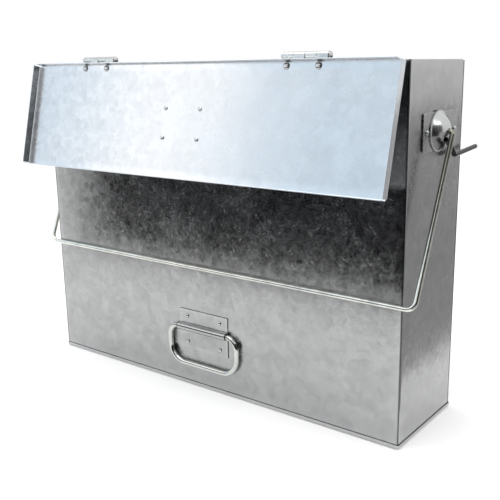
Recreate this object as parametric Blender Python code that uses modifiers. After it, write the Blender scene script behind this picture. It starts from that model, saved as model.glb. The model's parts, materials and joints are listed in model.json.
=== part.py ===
# Galvanised hopper feeder: slim sheet box with a front-hinged tray lid, a swinging wire bail,
# two drop handles and a rear feed window with a sloping baffle behind it.
# Origin: centre of the underside. X across the box, -Y the front face, +Z up. Stored with the lid open.
import bpy
import bmesh
import math
from mathutils import Vector, Matrix

MM = 0.001
Z_TO_X = Matrix(((0, 0, 1, 0), (1, 0, 0, 0), (0, 1, 0, 0), (0, 0, 0, 1)))   # (y, z, x) triples into place

# ---- body (mm) ----
BODY_W = 480.0            # outside width of the box
BODY_D = 116.0            # outside depth of the box
BODY_H = 358.0            # height of the panels' top edge
SHEET = 0.9               # sheet thickness of box and lid
GAP = 0.3                 # clearance between neighbouring pieces
PAN_LIP = 7.0             # height of the bottom pan's upturned edge
LAP = 10.0                # width of the side panels' lap flanges
HEM = 10.5                # depth of the folded top hems
LAP_TOP_DROP = 14.0       # lap flanges end this far under the top edge

# ---- feed opening and baffle (mm) ----
WINDOW_W = 400.0
WINDOW_Z0 = 42.0
WINDOW_H = 96.0
EDGING_H = 10.0           # height of the edging on the window's lower edge
BAFFLE_RISE = 20.0        # baffle's top bend above the window
BAFFLE_FLANGE = 14.0
BAFFLE_FOOT_Z = 50.0
BAFFLE_FOOT_Y = -16.0
BAFFLE_HEM = 8.0

# ---- hinges (mm) ----
HINGE_X = 139.1           # hinge centres from the middle
HINGE_L = 50.0            # leaf and barrel length
LEAF_T = 1.2
BARREL_R = 3.5
LEAF_H = 18.0             # leaf length measured from the barrel axis
KNUCKLES = 4
CURL_DEG = 280.0
CURL_STEPS = 28
PIN_CLEAR = 0.08
PIN_HEAD_R = 3.0
PIN_HEAD_T = 1.2
PIN_HEAD_CHAMFER = 0.3
SLOT_LEAD = 0.1           # knuckle slits start this far under the barrel, past the gap
HINGE_RIVET_S = 10.4      # rivet row from the barrel axis
HINGE_RIVET_X = 17.5      # rivets either side of the hinge's middle

# ---- lid (mm) ----
LID_OPEN_TILT = 13.8      # the open lid hangs this far off the vertical, degrees
LID_SIDE_CLEAR = 0.6
LID_BACK_CLEAR = 3.7
LID_FRONT_S = 6.7         # inside of the lid's front flange from the hinge axis
LID_FLANGE = 8.2          # flange depth under the lid's inner face
FRONT_FLANGE_INSET = 3.6  # front flange ends inside the side panels

# ---- ears and bail (mm) ----
PIVOT_Y = 0.5
PIVOT_DROP = 63.5         # bail pivot under the top edge
EAR_Y = 6.3               # middle of the ear plate; the dome sits forward of it
EAR_L = 73.5
EAR_H = 35.0
EAR_T = 1.2
EAR_CORNER = 2.0
EAR_RIVET_Y = 29.7
DOME_FLANGE_R = 19.0
DOME_R = 17.4
DOME_H = 10.5
DOME_T = 0.9
DOME_CUT = 4.5            # dome is open from this far below its centre
DOME_SEAM = 0.05          # least height of a profile point above the rim's faces
DOME_STEPS = 36
WIRE_R = 2.5
RUN_Z = 141.0             # bail's front run above the base
BAIL_TOE_IN = 2.7         # the arms close in by this much from pivot to run
BAIL_CORNER_R = 9.0
BAIL_NECK_R = 3.0
BAIL_SIDE_CLEAR = 1.2     # between the domes and the bail's arms
BAIL_HEAD_R = 4.2
BAIL_HEAD_T = 1.4
BAIL_HEAD_CHAMFER = 0.4
BAIL_HEAD_SINK = 0.5      # head sits this much deeper than the gap, clear of the dome's curve
NECK_CLEAR = 0.09

# ---- wire hooks (mm) ----
HOOK_R = 2.4
HOOK_START_Y = 8.5        # from the bail pivot, backwards
HOOK_START_CLEAR = 1.2    # under the dome's cut edge
HOOK_MID_Y = 17.0
HOOK_MID_DROP = 13.5
HOOK_BEND_Y = 25.0
HOOK_DROP = 24.0
HOOK_REACH = 76.0         # foot's end behind the bail pivot
HOOK_RISE = 3.5           # foot's end above its bend
HOOK_SPLAY = 2.0          # foot stands this far out from the wire's middle
HOOK_MID_R = 4.0
HOOK_BEND_R = 3.5

# ---- drop handles (mm) ----
HANDLE_Z = 67.0           # middle of the front handle's rivets
LID_HANDLE_S = 67.5       # the same on the lid, from the hinge axis
HANDLE_RIVET_X = 23.5
HANDLE_RIVET_Z = 15.2
HANDLE_PLATE_W = 69.0
HANDLE_PLATE_H = 46.0
HANDLE_PLATE_T = 1.0
PRESS_STEPS = 14          # faces round the half-round pressed over the bar
RING_WIRE_R = 3.0
RING_CLEAR = 0.1
RING_HALF_W = 48.4        # wire centre, from the middle
RING_DROP = 43.0          # barrel axis to the bottom bar
RING_BOTTOM_R = 20.0
RING_END_CLEAR = 0.5
BARREL_OFFSET = 2.7       # barrel axis above the rivets' middle

# ---- rivets (mm) ----
SMALL_SHANK_R = 1.5
SMALL_HEAD_R = 2.4
SMALL_HEAD_H = 1.6
BIG_SHANK_R = 2.0
BIG_HEAD_R = 3.6
BIG_HEAD_H = 2.2
STOP_HEAD_H = 3.2         # facing rivet tails that stop the open lid
FLAT_HEAD_H = 0.7
EAR_TAIL = 0.6            # tail height as a share of the head's
HANDLE_TAIL = 0.8
HOLE_CLEAR = 0.1
HOLE_SIDES = 20
CUT_REACH = 6.0           # cutters pass this far beyond a sheet's face

# ---- derived ----
FRONT_Y = -BODY_D / 2
BACK_Y = BODY_D / 2
SIDE_X = BODY_W / 2
BARREL_AXIS_Y = FRONT_Y - GAP - BARREL_R
LID_OUTER_H = BARREL_R + GAP                    # lid's outer face from the hinge axis
LID_INNER_H = LID_OUTER_H + SHEET
BARREL_AXIS_Z = BODY_H + GAP + LID_INNER_H
LID_REACH = BODY_D + LID_BACK_CLEAR - BARREL_AXIS_Y + FRONT_Y
OPEN_ANGLE = -math.radians(90.0 + LID_OPEN_TILT)
PANEL_Z0 = SHEET + GAP
PIVOT_Z = BODY_H - PIVOT_DROP
EAR_X0 = SIDE_X + GAP
EAR_X1 = EAR_X0 + EAR_T
DOME_X0 = EAR_X1 + GAP
DOME_APEX_X = DOME_X0 + DOME_H
ARM_X = DOME_APEX_X + BAIL_SIDE_CLEAR + WIRE_R
RUN_X = ARM_X - BAIL_TOE_IN
RUN_Y = FRONT_Y - GAP - WIRE_R
ear_grip = SHEET + GAP + EAR_T
hinge_grip = SHEET + GAP + LEAF_T
handle_grip = SHEET + GAP + HANDLE_PLATE_T


def clear_scene():
    for ob in list(bpy.data.objects):
        bpy.data.objects.remove(ob, do_unlink=True)


clear_scene()
part_col = bpy.data.collections.new("hopper_feeder")
cut_col = bpy.data.collections.new("cutters")
bpy.context.scene.collection.children.link(part_col)
bpy.context.scene.collection.children.link(cut_col)


def material(name, rgb, rough):
    mat = bpy.data.materials.new(name)
    mat.use_nodes = True
    bsdf = mat.node_tree.nodes["Principled BSDF"]
    bsdf.inputs["Base Color"].default_value = (rgb[0], rgb[1], rgb[2], 1.0)
    bsdf.inputs["Metallic"].default_value = 1.0
    bsdf.inputs["Roughness"].default_value = rough
    return mat


GALV = ((0.62, 0.64, 0.65), 0.38)
GALV_DARK = ((0.52, 0.54, 0.55), 0.42)
ZINC = ((0.72, 0.73, 0.72), 0.22)
WIRE = ((0.66, 0.65, 0.60), 0.25)
RIVET = ((0.75, 0.76, 0.77), 0.2)


def add_object(name, mesh, look, origin=(0, 0, 0), rot_x=0.0, smooth=False):
    ob = bpy.data.objects.new(name, mesh)
    part_col.objects.link(ob)
    ob.location = Vector(origin) * MM
    ob.rotation_euler = (rot_x, 0, 0)
    mesh.materials.clear()
    mesh.materials.append(material(name, look[0], look[1]))
    for poly in mesh.polygons:
        poly.use_smooth = smooth
    return ob


def mesh_from(verts, faces, name):
    mesh = bpy.data.meshes.new(name)
    mesh.from_pydata([tuple(Vector(v) * MM) for v in verts], [], faces)
    mesh.update()
    return mesh


def evaluated_mesh(ob, name):
    bpy.context.view_layer.update()
    deps = bpy.context.evaluated_depsgraph_get()
    mesh = bpy.data.meshes.new_from_object(ob.evaluated_get(deps))
    mesh.name = name
    bm = bmesh.new()
    bm.from_mesh(mesh)
    bmesh.ops.remove_doubles(bm, verts=bm.verts, dist=1e-6)
    bmesh.ops.recalc_face_normals(bm, faces=bm.faces)
    bm.to_mesh(mesh)
    bm.free()
    return mesh


def bake(ob):
    """Replace an object's mesh by its evaluated form, keeping its material and shading."""
    mesh = evaluated_mesh(ob, ob.name)
    ob.modifiers.clear()
    ob.data = mesh
    return ob


def solidify(ob, thickness):
    mod = ob.modifiers.new("thickness", "SOLIDIFY")
    mod.thickness = thickness * MM
    mod.offset = 0.0
    mod.use_even_offset = True
    return ob


def box_mesh(lo, hi, name):
    x0, y0, z0 = lo
    x1, y1, z1 = hi
    verts = [(x0, y0, z0), (x1, y0, z0), (x1, y1, z0), (x0, y1, z0),
             (x0, y0, z1), (x1, y0, z1), (x1, y1, z1), (x0, y1, z1)]
    faces = [(3, 2, 1, 0), (4, 5, 6, 7), (0, 1, 5, 4), (1, 2, 6, 5), (2, 3, 7, 6), (3, 0, 4, 7)]
    return mesh_from(verts, faces, name)


def cutter(name, mesh, like=None):
    ob = bpy.data.objects.new(name, mesh)
    cut_col.objects.link(ob)
    if like is not None:
        ob.matrix_world = like.matrix_world.copy()
        ob.location = like.location
        ob.rotation_euler = like.rotation_euler
    ob.hide_render = True
    ob.display_type = "WIRE"
    return ob


def boolean(ob, tool, operation="DIFFERENCE"):
    mod = ob.modifiers.new("boolean", "BOOLEAN")
    mod.operation = operation
    mod.solver = "EXACT"
    mod.object = tool
    return ob


def folded_sheet(name, boxes, look, origin=(0, 0, 0), rot_x=0.0):
    """A sheet and its folds: the boxes overlap and are joined into one body."""
    ob = add_object(name, box_mesh(boxes[0][0], boxes[0][1], name), look, origin=origin, rot_x=rot_x)
    for number, (lo, hi) in enumerate(boxes[1:], 1):
        tool = "%s_fold_%d" % (name, number)
        boolean(ob, cutter(tool, box_mesh(lo, hi, tool), like=ob), "UNION")
    return ob


def prism_mesh(centres, radius, lo, hi, axis, sides, name):
    """Round cutters along Y or Z, all in one mesh."""
    verts = []
    faces = []
    for cx, cb in centres:
        base = len(verts)
        for level in (lo, hi):
            for k in range(sides):
                a = 2 * math.pi * k / sides
                u = cx + radius * math.cos(a)
                v = cb + radius * math.sin(a)
                verts.append((u, level, v) if axis == "Y" else (u, v, level))
        for k in range(sides):
            n = (k + 1) % sides
            faces.append((base + k, base + n, base + sides + n, base + sides + k))
        faces.append(tuple(base + k for k in reversed(range(sides))))
        faces.append(tuple(base + sides + k for k in range(sides)))
    mesh = mesh_from(verts, faces, name)
    bm = bmesh.new()
    bm.from_mesh(mesh)
    bmesh.ops.recalc_face_normals(bm, faces=bm.faces)
    bm.to_mesh(mesh)
    bm.free()
    return mesh


def screw_mesh(profile, name, steps=24):
    """Revolve a profile of (radius, height) points about Z; the ends lie on the axis or meet."""
    mesh = bpy.data.meshes.new(name)
    verts = [(r * MM, 0.0, h * MM) for r, h in profile]
    closed = profile[0][0] > 1e-6
    edges = [(i, i + 1) for i in range(len(verts) - 1)]
    if closed:
        edges.append((len(verts) - 1, 0))
    mesh.from_pydata(verts, edges, [])
    ob = bpy.data.objects.new(name, mesh)
    cut_col.objects.link(ob)
    mod = ob.modifiers.new("screw", "SCREW")
    mod.angle = 2 * math.pi
    mod.steps = steps
    mod.render_steps = steps
    mod.use_merge_vertices = True
    mod.merge_threshold = 0.00001
    mod.use_normal_calculate = True
    out = evaluated_mesh(ob, name)
    bpy.data.objects.remove(ob, do_unlink=True)
    return out


def fillet(points, radii, seg, closed=False):
    """Round a polyline's corners with arcs of the given radii."""
    out = []
    count = len(points)
    for i, p in enumerate(points):
        p = Vector(p)
        if (not closed and i in (0, count - 1)) or radii[i] <= 0:
            out.append(p)
            continue
        a = (Vector(points[i - 1]) - p).normalized()
        b = (Vector(points[(i + 1) % count]) - p).normalized()
        half = a.angle(b) / 2
        tangent = radii[i] / math.tan(half)
        centre = p + (a + b).normalized() * radii[i] / math.sin(half)
        start = p + a * tangent - centre
        end = p + b * tangent - centre
        for k in range(seg + 1):
            t = k / seg
            ang = start.angle(end)
            out.append(centre + (start * math.sin((1 - t) * ang) + end * math.sin(t * ang)) / math.sin(ang))
    return out


def wire_mesh(points, radius, name, closed=False):
    curve = bpy.data.curves.new(name, "CURVE")
    curve.dimensions = "3D"
    curve.bevel_depth = radius * MM
    curve.bevel_resolution = 2
    curve.use_fill_caps = not closed
    spline = curve.splines.new("POLY")
    spline.points.add(len(points) - 1)
    for item, p in zip(spline.points, points):
        item.co = (p[0] * MM, p[1] * MM, p[2] * MM, 1.0)
    spline.use_cyclic_u = closed
    ob = bpy.data.objects.new(name, curve)
    cut_col.objects.link(ob)
    mesh = evaluated_mesh(ob, name)
    bpy.data.objects.remove(ob, do_unlink=True)
    return mesh


def placed(mesh, matrix, name):
    """A copy of a mesh moved by a matrix whose translation is in millimetres."""
    out = mesh.copy()
    out.name = name
    m = matrix.copy()
    m.translation = m.translation * MM
    out.transform(m)
    return out


def add_rivets(prefix, mesh, matrices, origin=(0, 0, 0), rot_x=0.0):
    for number, matrix in enumerate(matrices, 1):
        name = "%s_%d" % (prefix, number)
        add_object(name, placed(mesh, matrix, name), RIVET, origin=origin, rot_x=rot_x, smooth=True)


def strip_mesh(path, x_stations, keep, name):
    """Folded strip: path of (y, z) points swept along x. keep(row, column) says which faces exist."""
    verts = [(x, y, z) for y, z in path for x in x_stations]
    n = len(x_stations)
    faces = []
    for r in range(len(path) - 1):
        for c in range(n - 1):
            if keep(r, c):
                faces.append((r * n + c, r * n + c + 1, (r + 1) * n + c + 1, (r + 1) * n + c))
    mesh = mesh_from(verts, faces, name)
    bm = bmesh.new()
    bm.from_mesh(mesh)
    bmesh.ops.delete(bm, geom=[v for v in bm.verts if not v.link_faces], context="VERTS")
    bm.to_mesh(mesh)
    bm.free()
    return mesh


# ---------------------------------------------------------------- box panels
rivet_x = [sign * HINGE_X + off for sign in (-1, 1) for off in (-HINGE_RIVET_X, HINGE_RIVET_X)]
hinge_rivet_z = BARREL_AXIS_Z - HINGE_RIVET_S
handle_rivets = [(sx * HANDLE_RIVET_X, sz * HANDLE_RIVET_Z) for sx in (-1, 1) for sz in (-1, 1)]

front = add_object("front_panel", box_mesh((-SIDE_X, FRONT_Y, PANEL_Z0), (SIDE_X, FRONT_Y + SHEET, BODY_H),
                                           "front_panel"), GALV)
holes = prism_mesh([(x, hinge_rivet_z) for x in rivet_x], BIG_SHANK_R + HOLE_CLEAR,
                   FRONT_Y - CUT_REACH, FRONT_Y + CUT_REACH, "Y", HOLE_SIDES, "front_big_holes")
boolean(front, cutter("front_big_holes", holes))
holes = prism_mesh([(x, HANDLE_Z + z) for x, z in handle_rivets], SMALL_SHANK_R + HOLE_CLEAR,
                   FRONT_Y - CUT_REACH, FRONT_Y + CUT_REACH, "Y", HOLE_SIDES, "front_small_holes")
boolean(front, cutter("front_small_holes", holes))
bake(front)

# back panel: window cut out, top edge folded inwards
hem_end = SIDE_X - SHEET - GAP - SHEET - GAP
fold = BACK_Y - SHEET - GAP - SHEET               # inner face of the hem
back = folded_sheet("back_panel", [
    ((-SIDE_X, BACK_Y - SHEET, PANEL_Z0), (SIDE_X, BACK_Y, BODY_H)),
    ((-hem_end, fold, BODY_H - SHEET), (hem_end, BACK_Y - SHEET / 2, BODY_H)),
    ((-hem_end, fold, BODY_H - HEM), (hem_end, fold + SHEET, BODY_H - SHEET / 2))], GALV)
window = box_mesh((-WINDOW_W / 2, BACK_Y - CUT_REACH, WINDOW_Z0),
                  (WINDOW_W / 2, BACK_Y + CUT_REACH, WINDOW_Z0 + WINDOW_H), "window_cut")
boolean(back, cutter("window_cut", window))
bake(back)


def side_panel(name, sign):
    """Side sheet with lap flanges behind the front and back panels and a folded top hem."""
    lap_y = BODY_D / 2 - SHEET - GAP
    hem_y = fold - GAP - SHEET
    lap_top = BODY_H - LAP_TOP_DROP
    x_out = SIDE_X
    x_in = SIDE_X - SHEET
    hem_out = x_in - GAP
    hem_in = hem_out - SHEET
    raw = [
        ((x_in, -lap_y, PANEL_Z0), (x_out, lap_y, BODY_H)),
        ((x_out - LAP, -lap_y, PANEL_Z0), (x_in + SHEET / 2, -lap_y + SHEET, lap_top)),
        ((x_out - LAP, lap_y - SHEET, PANEL_Z0), (x_in + SHEET / 2, lap_y, lap_top)),
        ((hem_in, -hem_y, BODY_H - SHEET), (x_in + SHEET / 2, hem_y, BODY_H)),
        ((hem_in, -hem_y, BODY_H - HEM), (hem_out, hem_y, BODY_H - SHEET / 2))]
    boxes = []
    for lo, hi in raw:
        xs = sorted((sign * lo[0], sign * hi[0]))
        boxes.append(((xs[0], lo[1], lo[2]), (xs[1], hi[1], hi[2])))
    ob = folded_sheet(name, boxes, GALV)
    holes = prism_mesh([(EAR_Y + s * EAR_RIVET_Y, PIVOT_Z) for s in (-1, 1)], SMALL_SHANK_R + HOLE_CLEAR,
                       sign * SIDE_X - CUT_REACH, sign * SIDE_X + CUT_REACH, "Z", HOLE_SIDES, name + "_holes")
    holes.transform(Z_TO_X)
    boolean(ob, cutter(name + "_holes", holes))
    return bake(ob)


side_panel("left_side_panel", -1)
side_panel("right_side_panel", 1)

# bottom pan: shallow tray outside the panels
px = SIDE_X + GAP + SHEET / 2
py = BODY_D / 2 + GAP + SHEET / 2
pz = SHEET / 2
verts = [(-px, -py, pz), (px, -py, pz), (px, py, pz), (-px, py, pz),
         (-px, -py, PAN_LIP), (px, -py, PAN_LIP), (px, py, PAN_LIP), (-px, py, PAN_LIP)]
faces = [(3, 2, 1, 0), (0, 1, 5, 4), (1, 2, 6, 5), (2, 3, 7, 6), (3, 0, 4, 7)]
pan = add_object("bottom_pan", mesh_from(verts, faces, "bottom_pan"), GALV_DARK)
bake(solidify(pan, SHEET))

# ---------------------------------------------------------------- feed parts
baffle_y = BACK_Y - SHEET - GAP - SHEET - GAP - SHEET / 2
bend_z = WINDOW_Z0 + WINDOW_H + BAFFLE_RISE
baffle_x = SIDE_X - SHEET - GAP
path = [(baffle_y, bend_z + BAFFLE_FLANGE), (baffle_y, bend_z), (BAFFLE_FOOT_Y, BAFFLE_FOOT_Z),
        (BAFFLE_FOOT_Y, BAFFLE_FOOT_Z - BAFFLE_HEM)]
baffle = add_object("feed_baffle", strip_mesh(path, [-baffle_x, baffle_x], lambda r, c: True, "feed_baffle"), GALV_DARK)
bake(solidify(baffle, SHEET))

inner = BACK_Y - SHEET - GAP - SHEET / 2
outer = BACK_Y + GAP + SHEET / 2
lip_top = WINDOW_Z0 + GAP + SHEET / 2
path = [(inner, lip_top - EDGING_H), (inner, lip_top), (outer, lip_top), (outer, lip_top - EDGING_H)]
half = WINDOW_W / 2 - GAP
edging = add_object("window_edging", strip_mesh(path, [-half, half], lambda r, c: True, "window_edging"), ZINC)
bake(solidify(edging, SHEET))

# ---------------------------------------------------------------- ears, bail, hooks
def rivet_profile(shank, head_r, head_h, grip, tail_r, tail_h, steps=4):
    """Head dome above the grip, tail dome below; the shank spans the grip."""
    lo = -GAP / 2
    hi = grip + GAP / 2
    pts = []
    for k in range(steps + 1):
        a = math.pi / 2 * k / steps
        pts.append((tail_r * math.sin(a), lo - tail_h * math.cos(a)))
    pts += [(shank, lo), (shank, hi)]
    for k in range(steps + 1):
        a = math.pi / 2 * k / steps
        pts.append((head_r * math.cos(a), hi + head_h * math.sin(a)))
    pts[0] = (0.0, pts[0][1])
    pts[-1] = (0.0, pts[-1][1])
    return pts


ear_rivet = screw_mesh(rivet_profile(SMALL_SHANK_R, SMALL_HEAD_R, SMALL_HEAD_H, ear_grip,
                                     SMALL_HEAD_R, SMALL_HEAD_H * EAR_TAIL), "ear_rivet")


def ear(side, sign):
    plate = box_mesh((min(sign * EAR_X0, sign * EAR_X1), EAR_Y - EAR_L / 2, PIVOT_Z - EAR_H / 2),
                     (max(sign * EAR_X0, sign * EAR_X1), EAR_Y + EAR_L / 2, PIVOT_Z + EAR_H / 2), "ear_plate")
    ob = add_object("ear_plate_" + side, plate, ZINC)
    bm = bmesh.new()
    bm.from_mesh(ob.data)
    long_edges = [e for e in bm.edges if abs((e.verts[0].co - e.verts[1].co).x) > 0.5 * EAR_T * MM]
    bmesh.ops.bevel(bm, geom=long_edges, offset=EAR_CORNER * MM, segments=4, profile=0.5, affect="EDGES")
    bm.to_mesh(ob.data)
    bm.free()
    holes = prism_mesh([(EAR_Y + s * EAR_RIVET_Y, PIVOT_Z) for s in (-1, 1)], SMALL_SHANK_R + HOLE_CLEAR,
                       sign * SIDE_X - CUT_REACH, sign * SIDE_X + CUT_REACH, "Z", HOLE_SIDES, "ear_holes_" + side)
    holes.transform(Z_TO_X)
    boolean(ob, cutter("ear_holes_" + side, holes))
    bake(ob)

    # dome: flat rim ring rising to a spherical cap, pierced at the apex for the bail's neck
    ball = (DOME_R ** 2 + DOME_H ** 2) / (2 * DOME_H)
    neck_r = WIRE_R + NECK_CLEAR
    steps = 10
    rim_a = math.asin(DOME_R / ball)
    hole_a = math.asin(neck_r / ball)
    outer_pts = []
    inner_pts = []
    for k in range(steps + 1):
        a = hole_a + (rim_a - hole_a) * k / steps
        outer_pts.append((ball * math.sin(a), DOME_H - ball + ball * math.cos(a)))
        ri = max(neck_r, (ball - DOME_T) * math.sin(a))
        inner_pts.append((ri, DOME_H - ball + (ball - DOME_T) * math.cos(a)))
    outer_pts = [p for p in outer_pts if p[1] > DOME_T + DOME_SEAM]
    inner_pts = [p for p in inner_pts if p[1] > DOME_SEAM]
    edge_r = math.sqrt(max(ball ** 2 - (ball - DOME_H + DOME_T) ** 2, 0.0))
    foot_r = math.sqrt(max((ball - DOME_T) ** 2 - (ball - DOME_H) ** 2, 0.0))
    profile = outer_pts + [(edge_r, DOME_T), (DOME_FLANGE_R, DOME_T), (DOME_FLANGE_R, 0.0), (foot_r, 0.0)]
    profile += list(reversed(inner_pts))
    mesh = screw_mesh(profile, "ear_dome_" + side, steps=DOME_STEPS)
    place = Matrix.Translation(Vector((sign * DOME_X0, PIVOT_Y, PIVOT_Z)) * MM) @ Matrix.Rotation(
        sign * math.pi / 2, 4, "Y")
    mesh.transform(place)
    dome = add_object("ear_dome_" + side, mesh, ZINC, smooth=True)
    a = sign * (DOME_X0 + DOME_T + DOME_SEAM)
    b = sign * (DOME_APEX_X + CUT_REACH)
    reach = DOME_FLANGE_R + CUT_REACH
    cut = box_mesh((min(a, b), PIVOT_Y - reach, PIVOT_Z - reach), (max(a, b), PIVOT_Y + reach, PIVOT_Z - DOME_CUT),
                   "dome_cut")
    boolean(dome, cutter("dome_cut_" + side, cut))
    bake(dome)
    for poly in dome.data.polygons:
        poly.use_smooth = True

    turn = Matrix.Rotation(sign * math.pi / 2, 4, "Y")
    spots = [Vector((sign * (SIDE_X - SHEET), EAR_Y + s * EAR_RIVET_Y, PIVOT_Z)) for s in (-1, 1)]
    add_rivets("ear_rivet_" + side, ear_rivet, [Matrix.Translation(at) @ turn for at in spots])

    # hook: wire leaving the dome's open lower side, down and back past the rear face
    x_in = DOME_X0 + DOME_T + GAP + HOOK_R
    x_mid = DOME_X0 + DOME_T + 2 * GAP + HOOK_R
    x_out = x_mid + HOOK_SPLAY
    pts = [(sign * x_in, PIVOT_Y + HOOK_START_Y, PIVOT_Z - DOME_CUT - HOOK_R - HOOK_START_CLEAR),
           (sign * x_mid, PIVOT_Y + HOOK_MID_Y, PIVOT_Z - HOOK_MID_DROP),
           (sign * x_out, PIVOT_Y + HOOK_BEND_Y, PIVOT_Z - HOOK_DROP),
           (sign * x_out, PIVOT_Y + HOOK_REACH, PIVOT_Z - HOOK_DROP + HOOK_RISE)]
    pts = fillet(pts, [0, HOOK_MID_R, HOOK_BEND_R, 0], 5)
    add_object("hook_" + side, wire_mesh(pts, HOOK_R, "hook_" + side), WIRE, smooth=True)


ear("left", -1)
ear("right", 1)

# bail: one wire with headed necks turning in the domes
head_out = DOME_APEX_X - DOME_T - GAP - BAIL_HEAD_SINK
neck_end = head_out - BAIL_HEAD_T / 2
pts = [(-neck_end, PIVOT_Y, PIVOT_Z), (-ARM_X, PIVOT_Y, PIVOT_Z), (-RUN_X, RUN_Y, RUN_Z),
       (RUN_X, RUN_Y, RUN_Z), (ARM_X, PIVOT_Y, PIVOT_Z), (neck_end, PIVOT_Y, PIVOT_Z)]
pts = fillet(pts, [0, BAIL_NECK_R, BAIL_CORNER_R, BAIL_CORNER_R, BAIL_NECK_R, 0], 6)
pivot = Vector((0.0, PIVOT_Y, PIVOT_Z))
local = [Vector(p) - pivot for p in pts]
bail = add_object("bail", wire_mesh(local, WIRE_R, "bail"), WIRE, origin=pivot, smooth=True)
head = screw_mesh([(0.0, 0.0), (BAIL_HEAD_R - BAIL_HEAD_CHAMFER, 0.0), (BAIL_HEAD_R, BAIL_HEAD_CHAMFER),
                   (BAIL_HEAD_R, BAIL_HEAD_T), (0.0, BAIL_HEAD_T)], "bail_head", steps=20)
for sign in (-1, 1):
    m = Matrix.Translation(Vector((sign * (head_out - BAIL_HEAD_T), 0, 0))) @ Matrix.Rotation(sign * math.pi / 2, 4, "Y")
    boolean(bail, cutter("bail_head_%d" % sign, placed(head, m, "bail_head_at"), like=bail), "UNION")
bake(bail)
for poly in bail.data.polygons:
    poly.use_smooth = True

# ---------------------------------------------------------------- hinges


def leaf_path(direction):
    """Leaf's mid-line in (y, z) about the barrel axis: flat run, then the curl round the pin.

    direction 0 is the body leaf, hanging down behind the barrel; 1 the closed lid's leaf, running back."""
    r = BARREL_R - LEAF_T / 2
    flat = [(r, -LEAF_H), (r, -(BARREL_R + GAP + SLOT_LEAD)), (r, 0.0)]
    curl = []
    for k in range(1, CURL_STEPS + 1):
        a = math.radians(CURL_DEG) * k / CURL_STEPS
        curl.append((r * math.cos(a), r * math.sin(a)))
    pts = flat + curl
    if direction == 1:
        pts = [(-z, -y) for y, z in pts]
    return pts


def hinge_leaf(name, centre_x, direction, own, rot):
    pitch = HINGE_L / KNUCKLES
    xs = []
    for k in range(KNUCKLES):
        lo = -HINGE_L / 2 + pitch * k
        xs += [lo + (GAP / 2 if k else 0.0), lo + pitch - (GAP / 2 if k < KNUCKLES - 1 else 0.0)]

    def keep(row, col):
        if row == 0:
            return True
        return col % 2 == 0 and (col // 2) % 2 == own

    mesh = strip_mesh(leaf_path(direction), [centre_x + x for x in xs], keep, name)
    bm = bmesh.new()
    bm.from_mesh(mesh)
    bmesh.ops.recalc_face_normals(bm, faces=bm.faces)
    bm.to_mesh(mesh)
    bm.free()
    ob = add_object(name, mesh, ZINC, origin=(0, BARREL_AXIS_Y, BARREL_AXIS_Z), rot_x=rot)
    solidify(ob, LEAF_T)
    centres = [(centre_x - HINGE_RIVET_X, -HINGE_RIVET_S), (centre_x + HINGE_RIVET_X, -HINGE_RIVET_S)]
    if direction == 0:
        holes = prism_mesh(centres, BIG_SHANK_R + HOLE_CLEAR, 0.0, BARREL_R + CUT_REACH, "Y", HOLE_SIDES, name + "_holes")
    else:
        centres = [(x, -z) for x, z in centres]
        holes = prism_mesh(centres, BIG_SHANK_R + HOLE_CLEAR, -BARREL_R - CUT_REACH, 0.0, "Z", HOLE_SIDES, name + "_holes")
    boolean(ob, cutter(name + "_holes", holes, like=ob))
    return bake(ob)


pin_r = BARREL_R - LEAF_T - PIN_CLEAR
pin_half = HINGE_L / 2 + GAP
pin_end = [(0.0, pin_half + PIN_HEAD_T), (PIN_HEAD_R - PIN_HEAD_CHAMFER, pin_half + PIN_HEAD_T),
           (PIN_HEAD_R, pin_half + PIN_HEAD_T - PIN_HEAD_CHAMFER), (PIN_HEAD_R, pin_half), (pin_r, pin_half)]
pin_profile = [(r, -h) for r, h in pin_end] + list(reversed(pin_end))
pin_mesh = screw_mesh(pin_profile, "hinge_pin", steps=32)
along_x = Matrix.Rotation(math.pi / 2, 4, "Y")
for side, sign in (("left", -1), ("right", 1)):
    hinge_leaf("hinge_body_leaf_" + side, sign * HINGE_X, 0, 0, 0.0)
    hinge_leaf("hinge_lid_leaf_" + side, sign * HINGE_X, 1, 1, OPEN_ANGLE)
    at = Matrix.Translation(Vector((sign * HINGE_X, 0, 0))) @ along_x
    add_object("hinge_pin_" + side, placed(pin_mesh, at, "hinge_pin_" + side), RIVET,
               origin=(0, BARREL_AXIS_Y, BARREL_AXIS_Z), smooth=True)

# body hinge rivets: flat heads inside the box, round tails outside that stop the open lid
stop_rivet = screw_mesh(rivet_profile(BIG_SHANK_R, BIG_HEAD_R, STOP_HEAD_H, hinge_grip, BIG_HEAD_R, FLAT_HEAD_H), "stop_rivet")
to_front = Matrix.Rotation(math.pi / 2, 4, "X")
add_rivets("body_hinge_rivet", stop_rivet,
           [Matrix.Translation(Vector((x, FRONT_Y + SHEET, hinge_rivet_z))) @ to_front for x in rivet_x])

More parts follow.
